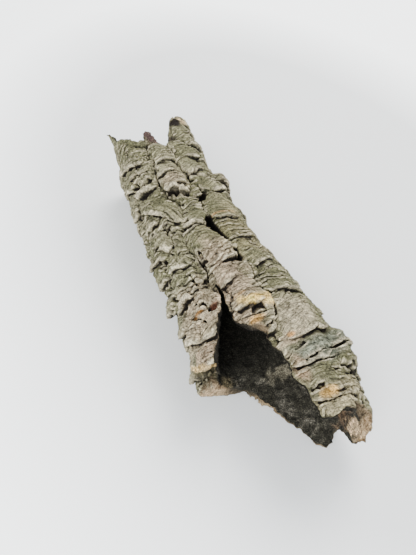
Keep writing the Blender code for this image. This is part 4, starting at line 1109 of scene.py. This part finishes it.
def split_bark(whole, material):
    """Cuts the fine mesh into bands along its length, each light enough to export, with no visible seam."""
    count = len(whole.polygons)
    centres = np.empty(count * 3, np.float32)
    whole.polygons.foreach_get("center", centres)
    sizes = np.empty(count, np.int32)
    whole.polygons.foreach_get("loop_total", sizes)
    starts = np.empty(count, np.int32)
    whole.polygons.foreach_get("loop_start", starts)
    corners = np.empty(len(whole.loops), np.int32)
    whole.loops.foreach_get("vertex_index", corners)
    points = np.empty(len(whole.vertices) * 3, np.float32)
    whole.vertices.foreach_get("co", points)
    normals = np.array([normal.vector for normal in whole.vertex_normals], np.float32)
    colours = np.empty(len(whole.vertices) * 4, np.float32)
    whole.attributes["bark_colour"].data.foreach_get("color", colours)
    places = np.empty(len(whole.vertices) * 3, np.float32)
    whole.attributes["chart"].data.foreach_get("vector", places)
    points, colours, places = points.reshape(-1, 3), colours.reshape(-1, 4), places.reshape(-1, 3)

    order = np.argsort(centres[1::3], kind="stable")
    share = (sizes[order] - 2).cumsum() / (sizes - 2).sum()
    for number in range(PIECES):
        band = order[(share > number / PIECES) & (share <= (number + 1) / PIECES)]
        band.sort()
        at_corner = np.concatenate([np.arange(starts[f], starts[f] + sizes[f]) for f in band])
        used, local = np.unique(corners[at_corner], return_inverse=True)
        name = f"cork_bark_band_{number + 1}"
        mesh = bpy.data.meshes.new(name)
        mesh.vertices.add(len(used))
        mesh.vertices.foreach_set("co", points[used].ravel())
        mesh.loops.add(len(local))
        mesh.loops.foreach_set("vertex_index", local.astype(np.int32))
        mesh.polygons.add(len(band))
        begin = np.concatenate([[0], sizes[band].cumsum()[:-1]]).astype(np.int32)
        mesh.polygons.foreach_set("loop_start", begin)
        mesh.polygons.foreach_set("use_smooth", np.ones(len(band), bool))
        mesh.update(calc_edges=True)
        mesh.attributes.new("bark_colour", "FLOAT_COLOR", "POINT").data.foreach_set("color", colours[used].ravel())
        mesh.attributes.new("chart", "FLOAT_VECTOR", "POINT").data.foreach_set("vector", places[used].ravel())
        mesh.normals_split_custom_set_from_vertices(normals[used].tolist())
        mesh.materials.append(material)
        piece = bpy.data.objects.new(name, mesh)
        bpy.context.scene.collection.objects.link(piece)
        print(name, "triangles", int((sizes[band] - 2).sum()))
        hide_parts("cork_bark")
        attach(piece, "root")


def make_floor():
    mesh = bpy.data.meshes.new("floor")
    half = 3.0
    mesh.from_pydata([(-half, -half, -0.0002), (half, -half, -0.0002), (half, half, -0.0002), (-half, half, -0.0002)], [], [(0, 1, 2, 3)])
    floor = bpy.data.objects.new("floor", mesh)
    bpy.context.scene.collection.objects.link(floor)
    material = bpy.data.materials.new("floor")
    material.use_nodes = True
    shader = material.node_tree.nodes["Principled BSDF"]
    shader.inputs["Base Color"].default_value = (0.95, 0.965, 0.965, 1.0)
    # Painted light: the floor glows, more the farther it lies from the dim oval round the bark
    shader.inputs["Emission Color"].default_value = (0.97, 1.0, 1.0, 1.0)
    tree = material.node_tree
    spot = node(tree, "ShaderNodeTexCoord", (-900, 0))
    around = node(tree, "ShaderNodeMapping", (-700, 0))
    half_x, half_y = DIM_HALF_SIZES
    around.inputs["Location"].default_value = (-DIM_MIDDLE[0] / half_x, -DIM_MIDDLE[1] / half_y, 0.0)
    around.inputs["Scale"].default_value = (1 / half_x, 1 / half_y, 0.0)
    away = node(tree, "ShaderNodeVectorMath", (-500, 0), operation="LENGTH")
    glow = node(tree, "ShaderNodeMapRange", (-300, 0))
    glow.inputs["From Min"].default_value = 1.3
    glow.inputs["From Max"].default_value = 2.1
    glow.inputs["To Min"].default_value = 0.05
    glow.inputs["To Max"].default_value = 1.6
    tree.links.new(spot.outputs["Object"], around.inputs["Vector"])
    tree.links.new(around.outputs["Vector"], away.inputs[0])
    tree.links.new(away.outputs["Value"], glow.inputs["Value"])
    tree.links.new(glow.outputs["Result"], shader.inputs["Emission Strength"])
    shader.inputs["Roughness"].default_value = 0.75
    shader.inputs["Specular IOR Level"].default_value = 0.2
    mesh.materials.append(material)


def area_light(name, place, target, size, power, colour):
    """A soft square light, placed and aimed in metres."""
    data = bpy.data.lights.new(name, "AREA")
    data.size = size
    data.energy = power
    data.color = colour
    lamp = bpy.data.objects.new(name, data)
    lamp.location = place
    lamp.rotation_mode = "QUATERNION"
    lamp.rotation_quaternion = (Vector(target) - Vector(place)).to_track_quat("-Z", "Y")
    bpy.context.scene.collection.objects.link(lamp)


def make_lights():
    area_light("window", (1.1, 0.9, 1.5), (0.0, 0.0, 0.0), 1.2, 57.0, (1.0, 0.985, 0.96))
    area_light("fill", (-1.0, -0.9, 1.1), (-0.1, -0.1, 0.0), 1.2, 32.0, (0.97, 0.985, 1.0))
    world = bpy.data.worlds.new("studio")
    world.use_nodes = True
    sky = world.node_tree.nodes["Background"]
    sky.inputs["Color"].default_value = (0.92, 0.96, 1.0, 1.0)
    sky.inputs["Strength"].default_value = 0.9
    bpy.context.scene.world = world


def make_camera():
    azimuth, elevation = math.radians(CAMERA_AZIMUTH), math.radians(CAMERA_ELEVATION)
    right = Vector((math.cos(azimuth), math.sin(azimuth), 0.0))
    back = Vector(
        (math.sin(azimuth) * math.cos(elevation), -math.cos(azimuth) * math.cos(elevation), math.sin(elevation))
    )
    up = back.cross(right)
    shift = Vector((ORIGIN_SHIFT[0], ORIGIN_SHIFT[1], 0.0))
    place = (Vector(CAMERA_TARGET) - shift + back * CAMERA_DISTANCE) * MM
    data = bpy.data.cameras.new("photo_view")
    data.lens = CAMERA_LENS
    data.sensor_width = 36.0
    data.sensor_fit = "AUTO"
    data.clip_start = 0.01
    data.clip_end = 20.0
    camera = bpy.data.objects.new("photo_view", data)
    turn = Matrix((right, up, back)).transposed()
    camera.matrix_world = Matrix.Translation(place) @ turn.to_4x4()
    bpy.context.scene.collection.objects.link(camera)
    bpy.context.scene.camera = camera


make_camera()
make_bark()
make_floor()
make_lights()
